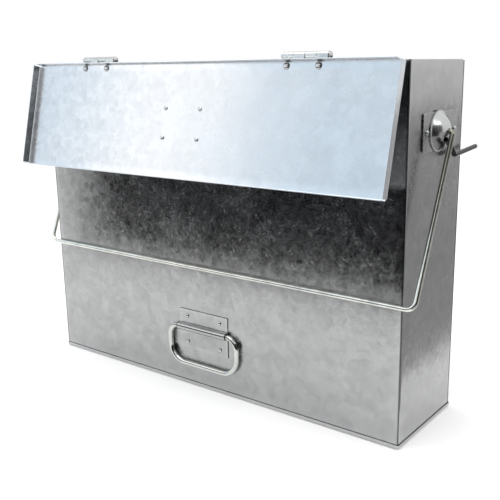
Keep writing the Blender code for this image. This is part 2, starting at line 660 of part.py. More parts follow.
# ---------------------------------------------------------------- lid
axis = (0, BARREL_AXIS_Y, BARREL_AXIS_Z)
lx0 = SIDE_X + LID_SIDE_CLEAR
lx1 = lx0 + SHEET
ls0 = LID_FRONT_S - SHEET
ls1 = LID_REACH + SHEET
skirt = -(LID_INNER_H + LID_FLANGE)
mid_h = -(LID_INNER_H + LID_OUTER_H) / 2
fx = SIDE_X - FRONT_FLANGE_INSET
lid = folded_sheet("lid_tray", [
    ((-lx1, ls0, -LID_INNER_H), (lx1, ls1, -LID_OUTER_H)),
    ((-fx, ls0, skirt), (fx, LID_FRONT_S, mid_h)),
    ((-lx1, LID_REACH, skirt), (lx1, ls1, mid_h)),
    ((-lx1, ls0, skirt), (-lx0, ls1, mid_h)),
    ((lx0, ls0, skirt), (lx1, ls1, mid_h))], GALV, origin=axis, rot_x=OPEN_ANGLE)
holes = prism_mesh([(x, HINGE_RIVET_S) for x in rivet_x], BIG_SHANK_R + HOLE_CLEAR, -LID_INNER_H - CUT_REACH, 0.0, "Z",
                   HOLE_SIDES, "lid_big_holes")
boolean(lid, cutter("lid_big_holes", holes, like=lid))
holes = prism_mesh([(x, LID_HANDLE_S + z) for x, z in handle_rivets], SMALL_SHANK_R + HOLE_CLEAR,
                   -LID_INNER_H - CUT_REACH, 0.0, "Z", HOLE_SIDES, "lid_small_holes")
boolean(lid, cutter("lid_small_holes", holes, like=lid))
bake(lid)

# lid hinge rivets: heads on the lid's inner face, stop tails on the leaf
lid_rivet = screw_mesh(rivet_profile(BIG_SHANK_R, BIG_HEAD_R, STOP_HEAD_H, hinge_grip, BIG_HEAD_R, BIG_HEAD_H), "lid_rivet")
add_rivets("lid_hinge_rivet", lid_rivet, [Matrix.Translation(Vector((x, HINGE_RIVET_S, -LID_INNER_H))) for x in rivet_x],
           origin=axis, rot_x=OPEN_ANGLE)

# ---------------------------------------------------------------- drop handles
bore = RING_WIRE_R + RING_CLEAR
bar_off = GAP + bore                                # bar's axis from the sheet behind it
press = bore + HANDLE_PLATE_T / 2
plate_off = GAP + HANDLE_PLATE_T / 2


def handle_plate_mesh(name):
    """Flat plate pressed into a half-round over the bar: (out, up) about the bar's axis, x across."""
    back_line = plate_off - bar_off
    lo = -BARREL_OFFSET - HANDLE_PLATE_H / 2
    hi = -BARREL_OFFSET + HANDLE_PLATE_H / 2
    path = [(back_line, lo), (back_line, -press), (0.0, -press)]
    for k in range(1, PRESS_STEPS):
        a = -math.pi / 2 + math.pi * k / PRESS_STEPS
        path.append((press * math.cos(a), press * math.sin(a)))
    path += [(0.0, press), (back_line, press), (back_line, hi)]
    half = HANDLE_PLATE_W / 2
    return strip_mesh([(-o, u) for o, u in path], [-half, half], lambda r, c: True, name)


def handle_plate(name, origin, rot, lift):
    ob = add_object(name, handle_plate_mesh(name), ZINC, origin=origin, rot_x=rot)
    bm = bmesh.new()
    bm.from_mesh(ob.data)
    bmesh.ops.recalc_face_normals(bm, faces=bm.faces)
    bm.to_mesh(ob.data)
    bm.free()
    solidify(ob, HANDLE_PLATE_T)
    holes = prism_mesh([(x, z - lift) for x, z in handle_rivets], SMALL_SHANK_R + HOLE_CLEAR, 0.0, CUT_REACH, "Y",
                       HOLE_SIDES, name + "_holes")
    boolean(ob, cutter(name + "_holes", holes, like=ob))
    return bake(ob)


ring_half_bar = HANDLE_PLATE_W / 2 + RING_END_CLEAR
ring_top_r = RING_HALF_W - ring_half_bar
ring_pts = [(-RING_HALF_W, 0, 0), (RING_HALF_W, 0, 0), (RING_HALF_W, 0, -RING_DROP), (-RING_HALF_W, 0, -RING_DROP)]
ring_pts = fillet(ring_pts, [ring_top_r, ring_top_r, RING_BOTTOM_R, RING_BOTTOM_R], 8, closed=True)

front_bar = (0, FRONT_Y - bar_off, HANDLE_Z + BARREL_OFFSET)
handle_plate("front_handle_plate", front_bar, 0.0, BARREL_OFFSET)
add_object("front_handle_ring", wire_mesh(ring_pts, RING_WIRE_R, "front_handle_ring", closed=True), WIRE,
           origin=front_bar, smooth=True)
handle_rivet = screw_mesh(rivet_profile(SMALL_SHANK_R, SMALL_HEAD_R, SMALL_HEAD_H, handle_grip,
                                        SMALL_HEAD_R, SMALL_HEAD_H * HANDLE_TAIL), "handle_rivet")
add_rivets("front_handle_rivet", handle_rivet,
           [Matrix.Translation(Vector((x, FRONT_Y + SHEET, HANDLE_Z + z))) @ to_front for x, z in handle_rivets])

# the lid's handle sits on its outer face; its ring hangs plumb while the lid is open
tilt = math.radians(LID_OPEN_TILT)
s_bar = LID_HANDLE_S - BARREL_OFFSET
h_bar = LID_OUTER_H - bar_off
lid_bar = (0, BARREL_AXIS_Y - s_bar * math.sin(tilt) - h_bar * math.cos(tilt),
           BARREL_AXIS_Z - s_bar * math.cos(tilt) + h_bar * math.sin(tilt))
handle_plate("lid_handle_plate", lid_bar, math.pi - tilt, -BARREL_OFFSET)
add_object("lid_handle_ring", wire_mesh(ring_pts, RING_WIRE_R, "lid_handle_ring", closed=True), WIRE,
           origin=lid_bar, smooth=True)
add_rivets("lid_handle_rivet", handle_rivet,
           [Matrix.Translation(Vector((x, LID_HANDLE_S + z, -LID_INNER_H))) for x, z in handle_rivets],
           origin=axis, rot_x=OPEN_ANGLE)
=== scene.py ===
import bpy
import bmesh
import json
import math
import numpy as np
from mathutils import Matrix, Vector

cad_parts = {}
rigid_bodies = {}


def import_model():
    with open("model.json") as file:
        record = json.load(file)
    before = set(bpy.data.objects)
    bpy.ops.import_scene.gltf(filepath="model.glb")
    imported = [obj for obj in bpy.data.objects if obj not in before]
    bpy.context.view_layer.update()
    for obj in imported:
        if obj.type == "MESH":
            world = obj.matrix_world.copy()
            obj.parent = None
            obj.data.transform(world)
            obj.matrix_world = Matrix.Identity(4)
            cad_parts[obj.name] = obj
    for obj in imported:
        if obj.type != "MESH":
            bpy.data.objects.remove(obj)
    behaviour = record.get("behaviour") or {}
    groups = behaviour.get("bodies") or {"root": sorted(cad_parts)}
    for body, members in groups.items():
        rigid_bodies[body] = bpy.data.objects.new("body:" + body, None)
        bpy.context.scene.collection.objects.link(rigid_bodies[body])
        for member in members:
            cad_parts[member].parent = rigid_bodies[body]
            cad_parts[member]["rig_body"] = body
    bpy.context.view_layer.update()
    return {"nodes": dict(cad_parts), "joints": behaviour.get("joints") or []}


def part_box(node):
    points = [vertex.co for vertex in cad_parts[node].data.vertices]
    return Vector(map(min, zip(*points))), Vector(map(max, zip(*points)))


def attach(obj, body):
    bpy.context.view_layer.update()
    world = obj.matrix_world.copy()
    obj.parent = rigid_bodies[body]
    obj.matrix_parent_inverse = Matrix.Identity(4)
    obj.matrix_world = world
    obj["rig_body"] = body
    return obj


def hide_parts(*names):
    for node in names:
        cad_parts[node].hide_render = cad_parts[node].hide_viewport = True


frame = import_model()
mm = 0.001
print("frame loaded:", len(frame["nodes"]), "nodes")

# where things are, taken from the frame
frontLo, frontHi = [np.array(c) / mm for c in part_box("front_panel")]
backHi = np.array(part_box("back_panel")[1]) / mm
jointAt = {j["name"]: np.array(j["pos_m"]) / mm for j in frame["joints"]}
halfW = frontHi[0]
frontY = frontLo[1]
backY = backHi[1]
topZ = frontHi[2]
floorOfPanels = frontLo[2]
sheetT = frontHi[1] - frontLo[1]
gap = 0.3


# surfaces on a grid

def gridQuads(rows, cols, loopRows=False, loopCols=False, keep=None):
    # each cell joins a grid point to the next along both directions
    r = np.arange(rows if loopRows else rows - 1)
    c = np.arange(cols if loopCols else cols - 1)
    a, b = np.meshgrid(r, c, indexing="ij")
    a2 = (a + 1) % rows
    b2 = (b + 1) % cols
    quads = np.stack([a * cols + b, a * cols + b2, a2 * cols + b2, a2 * cols + b], axis=-1)
    return quads[keep] if keep is not None else quads.reshape(-1, 4)


def bendPath(corners, radii, seg=6, step=12.0):
    # straight runs joined by arcs; straights are cut into lengths of about one step
    pts = np.asarray(corners, float)
    runs = [pts[:1]]
    kinds = [np.zeros(1)]
    for i in range(1, len(pts) - 1):
        p = pts[i]
        back = (pts[i - 1] - p) / np.linalg.norm(pts[i - 1] - p)
        ahead = (pts[i + 1] - p) / np.linalg.norm(pts[i + 1] - p)
        half = math.acos(np.clip(back @ ahead, -1, 1)) / 2
        if radii[i] <= 0 or half > 1.5707:
            arc = p[None, :]
            runs.append(arc)
            kinds.append(np.zeros(1))
            continue
        reach = radii[i] / math.tan(half)
        centre = p + (back + ahead) / np.linalg.norm(back + ahead) * radii[i] / math.sin(half)
        s = p + back * reach - centre
        e = p + ahead * reach - centre
        turn = math.pi - 2 * half
        t = np.linspace(0, 1, seg + 1)[:, None]
        runs.append(centre + (s * np.sin((1 - t) * turn) + e * np.sin(t * turn)) / math.sin(turn))
        kinds.append(np.ones(seg + 1))
    runs.append(pts[-1:])
    kinds.append(np.zeros(1))
    out = [runs[0]]
    bent = [kinds[0]]
    for last, nxt, kind in zip(runs[:-1], runs[1:], kinds[1:]):
        length = np.linalg.norm(nxt[0] - last[-1])
        n = max(1, int(round(length / step)))
        t = np.linspace(0, 1, n + 1)[1:-1, None]
        out.append(last[-1] + t * (nxt[0] - last[-1]))
        bent.append(np.zeros(len(t)))
        out.append(nxt)
        bent.append(kind)
    return np.vstack(out), np.concatenate(bent)


def frames(path, closed=False):
    # two side directions at each point of a path, carried along with no twist
    p = np.asarray(path, float)
    if closed:
        tan = np.roll(p, -1, 0) - np.roll(p, 1, 0)
    else:
        tan = np.gradient(p, axis=0)
    tan /= np.linalg.norm(tan, axis=1)[:, None]
    start = np.array([1.0, 0, 0]) if abs(tan[0, 0]) < 0.9 else np.array([0, 0, 1.0])
    side = [np.cross(tan[0], start)]
    for t in tan[1:]:
        s = side[-1] - t * (side[-1] @ t)
        side.append(s / np.linalg.norm(s))
    side = np.array(side)
    side /= np.linalg.norm(side, axis=1)[:, None]
    return side, np.cross(tan, side)


def makeMesh(name, pts, quads, ends=(), uv=None, wear=None, paintedDarkMark=None):
    # points in mm, unused ones dropped; ends are lists of point numbers that close a tube
    pts = np.asarray(pts, float).reshape(-1, 3)
    faces = [list(map(int, q)) for q in quads] + [list(map(int, e)) for e in ends]
    used = np.unique(np.concatenate([np.asarray(f) for f in faces])) if ends else np.unique(quads)
    number = np.zeros(len(pts), int)
    number[used] = np.arange(len(used))
    faces = [[int(number[i]) for i in f] for f in faces]
    mesh = bpy.data.meshes.new(name)
    mesh.from_pydata((pts[used] * mm).tolist(), [], faces)
    mesh.update()
    if uv is not None:
        loops = np.zeros(len(mesh.loops), np.int32)
        mesh.loops.foreach_get("vertex_index", loops)
        layer = mesh.uv_layers.new(name="along")
        layer.data.foreach_set("uv", np.asarray(uv, float).reshape(-1, 2)[used][loops].ravel())
    for label, value in (("wear", wear), ("paintedDarkMark", paintedDarkMark)):
        if value is not None:
            att = mesh.attributes.new(label, "FLOAT", "POINT")
            att.data.foreach_set("value", np.asarray(value, np.float32).ravel()[used])
    return mesh


def outward(mesh, merge=0.0):
    bm = bmesh.new()
    bm.from_mesh(mesh)
    if merge:
        bmesh.ops.remove_doubles(bm, verts=bm.verts, dist=merge * mm)
    bmesh.ops.recalc_face_normals(bm, faces=bm.faces)
    bm.to_mesh(mesh)
    bm.free()


made = []


def seat(name, mesh, node, finish, thick=0.0, edge=0.0):
    # puts a mesh in the scene in place of a node, on that node's body
    ob = bpy.data.objects.new(name, mesh)
    bpy.context.scene.collection.objects.link(ob)
    mesh.materials.append(finish)
    mesh.polygons.foreach_set("use_smooth", np.full(len(mesh.polygons), True))
    if thick:
        wall = ob.modifiers.new("sheet", "SOLIDIFY")
        wall.thickness = thick * mm
        wall.offset = 0.0
    if edge:
        soft = ob.modifiers.new("edges", "BEVEL")
        soft.width = edge * mm
        soft.segments = 2
        soft.limit_method = "ANGLE"
        soft.angle_limit = math.radians(45)
        soft.harden_normals = True
    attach(ob, frame["nodes"][node]["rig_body"])
    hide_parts(node)
    made.append(ob)
    return ob


def turned(pts, angle, axisPoint):
    # points given about a hinge, tipped about X and moved onto it
    p = np.asarray(pts, float)
    c, s = math.cos(angle), math.sin(angle)
    out = p.copy()
    out[..., 1] = p[..., 1] * c - p[..., 2] * s
    out[..., 2] = p[..., 1] * s + p[..., 2] * c
    return out + np.asarray(axisPoint)


def sag(a, b, spanA, spanB, depth, phase=0.0):
    # rolled sheet is never flat: two crossing half waves that die out at the borders
    ua = np.clip((a - spanA[0]) / (spanA[1] - spanA[0]), 0, 1)
    ub = np.clip((b - spanB[0]) / (spanB[1] - spanB[0]), 0, 1)
    rim = (np.sin(math.pi * ua) * np.sin(math.pi * ub)) ** 0.6
    slow = np.sin(5.1 * ua + phase) * np.cos(3.3 * ub + 1.7 * phase)
    quick = np.sin(8.7 * ub - 4.2 * ua + phase)
    return depth * rim * (0.6 * slow + 0.4 * quick)


def rimWear(a, b, spanA, spanB, width):
    # 1 on the border of a panel, falling to 0 over the given width
    d = np.minimum(np.minimum(a - spanA[0], spanA[1] - a), np.minimum(b - spanB[0], spanB[1] - b))
    return np.clip(1 - d / width, 0, 1) ** 1.5


# finishes

def nodeTool(owner):
    # a feed is a pair: a node and the name of its output
    tree = owner.node_tree

    def join(a, out, b, into):
        tree.links.new(a.outputs[out], b.inputs[into])

    def add(kind, feed=None, into="Vector", **values):
        node = tree.nodes.new(kind)
        for key, value in values.items():
            if key in node.inputs:
                node.inputs[key].default_value = value
            else:
                setattr(node, key, value)
        if feed:
            join(*feed, node, into)
        return node

    def calc(operation, *terms, vector=False):
        # each term is a feed, a number or a list of three
        node = add("ShaderNodeVectorMath" if vector else "ShaderNodeMath", operation=operation)
        for n, term in enumerate(terms):
            if isinstance(term, tuple):
                join(*term, node, n)
            else:
                node.inputs[n].default_value = term
        return node, "Vector" if vector else "Value"

    return add, join, calc


def newMetal(name):
    mat = bpy.data.materials.new(name)
    mat.use_nodes = True
    skin = mat.node_tree.nodes["Principled BSDF"]
    skin.inputs["Metallic"].default_value = 1.0
    return mat, skin, *nodeTool(mat)


def ramp(add, feed, stops):
    node = add("ShaderNodeValToRGB", feed, "Fac")
    band = node.color_ramp
    while len(band.elements) < len(stops):
        band.elements.new(0.5)
    for item, (pos, value) in zip(band.elements, stops):
        item.position = pos
        item.color = (*value, 1)
    return node, "Color"


def spread(add, feed, low, high, ends):
    # the stretch from low to high becomes the stretch between the two ends
    limits = {"From Min": low, "From Max": high, "To Min": ends[0], "To Max": ends[1]}
    return add("ShaderNodeMapRange", feed, "Value", **limits), "Result"


def bumps(add, join, feed, strength, distance, under=None):
    node = add("ShaderNodeBump", feed, "Height", Strength=strength, Distance=distance)
    if under:
        join(*under, node, "Normal")
    return node, "Normal"


def useMarks(add, join, calc, skin, shade, patch, tint, gain, darkPaint):
    # worn places are brighter in patches; the second attribute paints a dark colour where it marks: painted
    # shade in the front sheet's seams and where the handle rings go under their plates, and a painted dark
    # reflection on the bail's upper arms
    worn = add("ShaderNodeAttribute", attribute_name="wear")
    paintedDarkMark = add("ShaderNodeAttribute", attribute_name="paintedDarkMark")
    wornPatch = calc("MULTIPLY", (worn, "Fac"), patch)
    for amount, over in ((wornPatch, (*[min(1.0, c * gain) for c in tint], 1)), ((paintedDarkMark, "Fac"), darkPaint)):
        mix = add("ShaderNodeMix", data_type="RGBA")
        mix.inputs["B"].default_value = over
        join(*amount, mix, "Factor")
        join(*shade, mix, "A")
        shade = (mix, "Result")
    join(*shade, skin, "Base Color")
    return wornPatch


galvanised = dict(
    crystal=150.0,         # spangle flowers per metre
    blotch=22.0,           # cloudy patches per metre
    tip=0.07,              # how far each crystal leans
    rough=(0.13, 0.30),
    curd=190.0,            # small curdled marks per metre
    dull=0.80,             # dark crystals against bright ones
    soft=0.55,             # how far neighbouring crystals run together
    # colour of the painted shade in the front sheet's seams
    seamShade=(0.03, 0.03, 0.032, 1),
)


def sheetFinish(name, tint, seed, look=galvanised, contrast=1.0, lean=1.0):
    # hot-dip zinc: leaning crystals of slightly different grey under a soft cloudy bloom
    mat, skin, add, join, calc = newMetal(name)
    half = [0.5, 0.5, 0.5]
    where = (add("ShaderNodeTexCoord"), "Object")
    shift = (add("ShaderNodeMapping", where, Location=(seed * 0.37, seed * 0.23, seed * 0.11)), "Vector")
    # wander bends the crystal borders so that they don't read as straight cells
    wander = (add("ShaderNodeTexNoise", shift, Scale=60.0, Detail=4.0, Roughness=0.6), "Color")
    sway = calc("MULTIPLY", calc("SUBTRACT", wander, half, vector=True), [0.016] * 3, vector=True)
    bent = calc("ADD", shift, sway, vector=True)
    cells, big = [(add("ShaderNodeTexVoronoi", bent, feature="SMOOTH_F1", Scale=look["crystal"] * size,
                       Smoothness=look["soft"]), "Color") for size in (1.0, 0.42)]
    bloom = add("ShaderNodeTexNoise", shift, Scale=look["blotch"], Detail=6.0, Roughness=0.62, Distortion=0.4)
    fine = add("ShaderNodeTexNoise", shift, Scale=900.0, Detail=3.0, Roughness=0.7)
    # grey of each crystal, then the bloom over it
    red = (add("ShaderNodeSeparateColor", cells, "Color"), "Red")
    green = (add("ShaderNodeSeparateColor", big, "Color"), "Green")
    grey = calc("MULTIPLY_ADD", calc("ADD", red, green), 0.34, calc("MULTIPLY", (bloom, "Fac"), 0.42))
    low = 1 - (1 - look["dull"]) * contrast
    shade = ramp(add, grey, [(0.18, tuple(c * low for c in tint)),
                             (0.5, tuple(c * (low + 1) / 2 for c in tint)), (0.82, tint)])
    patchy = add("ShaderNodeTexNoise", shift, Scale=140.0, Detail=5.0, Roughness=0.7)
    wornPatch = useMarks(add, join, calc, skin, shade, (patchy, "Fac"), tint, 1.16, look["seamShade"])
    # roughness follows a small curdled pattern and the bloom, and falls where worn
    curd = add("ShaderNodeTexNoise", bent, Scale=look["curd"], Detail=5.0, Roughness=0.72, Distortion=0.9)
    mixed = calc("MULTIPLY_ADD", (curd, "Fac"), 0.7, calc("MULTIPLY", (bloom, "Fac"), 0.3))
    rough = spread(add, mixed, 0.36, 0.66, look["rough"])
    join(*calc("MULTIPLY_ADD", wornPatch, -0.1, rough), skin, "Roughness")
    # lean of each crystal, then long soft waves and fine grain
    tipped = calc("MULTIPLY", calc("SUBTRACT", cells, half, vector=True), [look["tip"] * lean] * 3,
                  vector=True)
    plain = (add("ShaderNodeNewGeometry"), "Normal")
    unit = calc("NORMALIZE", calc("ADD", plain, tipped, vector=True), vector=True)
    waves = add("ShaderNodeTexNoise", shift, Scale=9.0, Detail=1.0)
    waveBump = bumps(add, join, (waves, "Fac"), 0.5, 0.0016, unit)
    join(*bumps(add, join, (fine, "Fac"), 0.12, 0.0001, waveBump), skin, "Normal")
    return mat


# the last colour is painted dark: a painted dark reflection on the bail's upper arms, and painted shade where
# the handle rings go under their plates
plated = dict(rough=(0.13, 0.3), streak=420.0, pit=1500.0, darkPaint=(0.10, 0.095, 0.065, 1))


def platedFinish(name, tint, seed, rough=plated["rough"], stretch=(1, 1, 1), stain=0.12, uv=False, bump=0.12):
    # bright zinc over drawn or pressed steel: fine streaks one way, dull fingerprints, small pits
    mat, skin, add, join, calc = newMetal(name)
    where = add("ShaderNodeTexCoord")
    shift = add("ShaderNodeMapping", (where, "UV" if uv else "Object"), Scale=stretch,
                Location=(seed * 0.29, seed * 0.17, seed * 0.41))
    streaks = (add("ShaderNodeTexNoise", (shift, "Vector"), Scale=plated["streak"], Detail=4.0,
                   Roughness=0.65), "Fac")
    cloud = (add("ShaderNodeTexNoise", (where, "Object"), Scale=70.0, Detail=5.0, Roughness=0.6,
                 Distortion=0.6), "Fac")
    pits = (add("ShaderNodeTexVoronoi", (where, "Object"), Scale=plated["pit"]), "Distance")
    low = tuple(c * (1 - stain * 1.6) for c in tint)
    high = tuple(min(1.0, c * (1 + stain * 0.7)) for c in tint)
    shade = ramp(add, cloud, [(0.3, low), (0.55, tint), (0.8, high)])
    useMarks(add, join, calc, skin, shade, streaks, tint, 1.2, plated["darkPaint"])
    mixed = calc("MULTIPLY_ADD", streaks, 0.5, calc("MULTIPLY", cloud, 0.5))
    join(*spread(add, mixed, 0.3, 0.7, rough), skin, "Roughness")
    lines = bumps(add, join, streaks, bump, 0.0002)
    join(*bumps(add, join, pits, bump * 0.6, 0.0001, lines), skin, "Normal")
    return mat


frontSheet = sheetFinish("frontSheet", (0.41, 0.413, 0.415), 1.0, contrast=1.1, lean=0.3)
sideSheet = sheetFinish("sideSheet", (0.435, 0.437, 0.438), 4.0, contrast=0.8, lean=0.3)
backSheet = sheetFinish("backSheet", (0.51, 0.512, 0.515), 7.0)
panSheet = sheetFinish("panSheet", (0.47, 0.472, 0.475), 9.0)
# painted reflection: the lid sheet is made brighter and bluer than the other sheets to stand in for the
# bluish light its inside reflects
lidSheetPaintedBright = sheetFinish("lidSheetPaintedBright", (0.63, 0.65, 0.67), 12.0, look=dict(galvanised, rough=(0.23, 0.29)),
                       contrast=0.6, lean=0.3)
innerSheet = sheetFinish("innerSheet", (0.47, 0.475, 0.48), 15.0)
earZinc = platedFinish("earZinc", (0.44, 0.445, 0.44), 2.0, rough=(0.18, 0.34))
domeZinc = platedFinish("domeZinc", (0.56, 0.565, 0.565), 3.0, rough=(0.19, 0.28), stain=0.06, bump=0.05)
hingeZinc = platedFinish("hingeZinc", (0.54, 0.55, 0.545), 5.0, rough=(0.18, 0.32))
ringWire = platedFinish("ringWire", (0.60, 0.615, 0.59), 8.0, rough=(0.09, 0.2), stretch=(12, 90, 1),
                        uv=True, stain=0.08, bump=0.06)
bailWire = platedFinish("bailWire", (0.72, 0.73, 0.68), 10.0, rough=(0.14, 0.28), stretch=(10, 90, 1),
                        uv=True, stain=0.16, bump=0.08)
# painted dark reflection: the hook's zinc-plated wire is made near black to stand in for the dark
# surroundings it reflects
hookWirePaintedDark = platedFinish("hookWirePaintedDark", (0.045, 0.045, 0.043), 13.0, rough=(0.12, 0.24), stretch=(12, 90, 1),
                        uv=True, stain=0.12, bump=0.08)
rivetSteel = platedFinish("rivetSteel", (0.55, 0.555, 0.56), 11.0, rough=(0.08, 0.16))
print("finishes ready")


# box

box = dict(
    lap=10.0,              # lap flanges behind the front and back sheets
    lapDrop=14.0,          # they end this far under the top edge
    hem=10.5,
    bend=1.3,              # middle radius of the folds
    hemBend=0.55,          # and of the tight top hems
    sag=0.14,
    seam=1.1,              # width of the painted shade line at the front sheet's ends, for the shadow in the seam gap
    edge=0.22,
    windowHalf=200.0,
    windowLow=42.0,
    windowHigh=138.0,
    lip=4.2,               # height of the bottom pan's rim
    lipBend=1.6,
    lift=0.06,             # keeps the pan's underside off the floor
)


def cellMid(values):
    return (values[1:] + values[:-1]) / 2


def frontPiece():
    # a plane of points over x and z, pushed along y by the sag; both ends hold a painted shade line for the
    # shadow in the seam gap
    seam = halfW - box["seam"] * np.array([0.4, 1.0, 1.6])
    xs = np.unique(np.concatenate([np.linspace(-halfW, halfW, 41), -seam, seam]))
    zs = np.linspace(floorOfPanels, topZ, 33)
    x, z = np.meshgrid(xs, zs, indexing="ij")
    push = sag(x, z, (-halfW, halfW), (floorOfPanels, topZ), box["sag"] * 0.8, 0.6)
    pts = np.stack([x, frontY + sheetT / 2 + np.minimum(push, 0.05), z], axis=-1)
    wear = rimWear(x, z, (-halfW, halfW), (floorOfPanels, topZ), 7.0)
    # painted shade: a dark line along both ends for the shadow in the seam gap; the brighter worn edge is
    # left off under it
    paintedDarkMark = np.clip(1.6 - (halfW - np.abs(x)) / box["seam"], 0, 1) * 0.85
    mesh = makeMesh("frontSheetPiece", pts, gridQuads(len(xs), len(zs)), wear=wear * (1 - paintedDarkMark), paintedDarkMark=paintedDarkMark)
    seat("frontSheetPiece", mesh, "front_panel", frontSheet, thick=sheetT, edge=box["edge"])


def backPiece():
    # flat sheet and inward hem are one unfolded blank: x runs across, the fold path gives y and z
    mid = backY - sheetT / 2
    hemMid = backY - sheetT - gap - sheetT / 2
    fold, bent = bendPath([(mid, floorOfPanels), (mid, box["windowLow"]), (mid, box["windowHigh"]),
                           (mid, topZ - sheetT / 2), (hemMid, topZ - sheetT / 2),
                           (hemMid, topZ - box["hem"])],
                          [0, 0, 0, box["hemBend"], box["hemBend"], 0], seg=5)
    hemEnd = halfW - 2 * (sheetT + gap)
    xs = np.unique(np.concatenate([np.linspace(-halfW, halfW, 41),
                                   [-hemEnd, hemEnd, -box["windowHalf"], box["windowHalf"]]]))
    x, i = np.meshgrid(xs, np.arange(len(fold)), indexing="ij")
    y = fold[i, 0]
    z = fold[i, 1]
    main = np.cumsum(bent) == 0
    push = np.minimum(sag(x, z, (-halfW, halfW), (floorOfPanels, topZ), box["sag"], 2.1), 0.05)
    pts = np.stack([x, y - np.where(main[i], push, 0), z], axis=-1)
    mx, mi = np.meshgrid(cellMid(xs), np.arange(len(fold) - 1), indexing="ij")
    mz = cellMid(fold[:, 1])[mi]
    onMain = main[mi]
    hole = onMain & (np.abs(mx) < box["windowHalf"]) & (mz > box["windowLow"]) & (mz < box["windowHigh"])
    keep = ~hole & (onMain | (np.abs(mx) < hemEnd))
    wear = np.maximum(rimWear(x, z, (-halfW, halfW), (floorOfPanels, topZ), 7.0), 0.8 * bent[i])
    mesh = makeMesh("backSheetPiece", pts, gridQuads(len(xs), len(fold), keep=keep), wear=wear)
    seat("backSheetPiece", mesh, "back_panel", backSheet, thick=sheetT, edge=box["edge"])


def sidePiece(name, node, sign, finish, phase):
    # one blank with two lap flanges and a top hem; corner cells are notched away
    lapMid = backY - sheetT - gap - sheetT / 2
    outer = halfW - sheetT / 2
    lapEnd = halfW - box["lap"]
    hemMid = outer - sheetT - gap
    hemY = backY - 2 * (sheetT + gap) - sheetT - gap
    across, bentA = bendPath([(lapEnd, -lapMid), (outer, -lapMid), (outer, -hemY), (outer, hemY),
                              (outer, lapMid), (lapEnd, lapMid)],
                             [0, box["bend"], 0, 0, box["bend"], 0], seg=6, step=9.0)
    lapTop = topZ - box["lapDrop"]
    up, bentB = bendPath([(outer, floorOfPanels), (outer, lapTop), (outer, topZ - sheetT / 2),
                          (hemMid, topZ - sheetT / 2), (hemMid, topZ - box["hem"])],
                         [0, 0, box["hemBend"], box["hemBend"], 0], seg=5)
    i, j = np.meshgrid(np.arange(len(across)), np.arange(len(up)), indexing="ij")
    y = across[i, 1]
    z = up[j, 1]
    push = np.minimum(sag(y, z, (-lapMid, lapMid), (floorOfPanels, topZ), box["sag"], phase), 0.04)
    folded = (across[i, 0] < outer - 1e-6) | (up[j, 0] < outer - 1e-6)
    x = across[i, 0] + up[j, 0] - outer + np.where(folded, 0, push)
    mi, mj = np.meshgrid(np.arange(len(across) - 1), np.arange(len(up) - 1), indexing="ij")
    flapA = cellMid(across[:, 0])[mi] < outer - 1e-6
    flapB = cellMid(up[:, 0])[mj] < outer - 1e-6
    keep = ~(flapA & flapB)
    bendOnly = np.abs(cellMid(across[:, 1])[mi]) < lapMid - 0.02
    keep &= ~(flapA & ~bendOnly & (cellMid(up[:, 1])[mj] > lapTop))
    keep &= ~(flapB & (np.abs(cellMid(across[:, 1])[mi]) > hemY))
    wear = np.maximum(np.maximum(bentA[i], bentB[j]) * 0.9,
                      rimWear(y, z, (-backY, backY), (floorOfPanels, topZ), 6.0))
    pts = np.stack([sign * x, y, z], axis=-1)
    mesh = makeMesh(name, pts, gridQuads(len(across), len(up), keep=keep), wear=wear)
    seat(name, mesh, node, finish, thick=sheetT, edge=box["edge"])


def panPiece():
    # a lip profile carried round a rounded rectangle, closed by the floor inside it
    outX = halfW + gap + sheetT / 2
    outY = backY + gap + sheetT / 2
    r = box["lipBend"]
    turn = np.linspace(0, math.pi / 2, 7)
    spots = [(outX - r, outY - r), (-outX + r, outY - r), (-outX + r, -outY + r), (outX - r, -outY + r)]
    corners = []
    for k, (cx, cy) in enumerate(spots):
        c, s = np.cos(turn + k * math.pi / 2), np.sin(turn + k * math.pi / 2)
        corners.append(np.stack([cx + c * r, cy + s * r, c, s], axis=-1))
    loop = np.vstack([np.vstack([c, (c[-1] + (n[0] - c[-1]) * np.linspace(0, 1, 14)[1:-1, None])])
                      for c, n in zip(corners, corners[1:] + corners[:1])])
    # inset and height of the lip's middle line
    a = np.linspace(0, math.pi / 2, 6)
    inset = np.concatenate([[9.0, 4.0], r - r * np.sin(a), [0.0, 0.0]])
    rim = [box["lip"] * 0.6, box["lip"] - sheetT / 2]
    high = np.concatenate([[0.0, 0.0], r - r * np.cos(a), rim])
    centre = loop[:, :2] - loop[:, 2:] * r
    radius = np.maximum(r - inset, 0.0)
    spare = np.maximum(inset - r, 0.0)
    pull = np.sign(loop[:, :2]) * spare[:, None, None]
    xy = centre[None] + loop[None, :, 2:] * radius[:, None, None] - pull
    z = np.broadcast_to(high[:, None, None] + sheetT / 2 + box["lift"], (*xy.shape[:2], 1))
    pts = np.concatenate([xy, z], axis=-1)
    rows, cols = xy.shape[:2]
    wear = np.broadcast_to(np.linspace(0, 1, rows)[:, None], (rows, cols))
    mesh = makeMesh("panPiece", pts, gridQuads(rows, cols, loopCols=True), ends=[np.arange(cols)], wear=wear)
    outward(mesh, 0.01)
    seat("panPiece", mesh, "bottom_pan", panSheet, thick=sheetT, edge=box["edge"])


frontPiece()
backPiece()
sidePiece("leftSidePiece", "left_side_panel", -1, sideSheet, 0.9)
sidePiece("rightSidePiece", "right_side_panel", 1, sideSheet, 2.7)
panPiece()
print("box panels made")


# feed parts

feed = dict(rise=20.0, flange=14.0, footZ=50.0, footY=-16.0, hem=8.0, bend=2.5, edging=10.0)


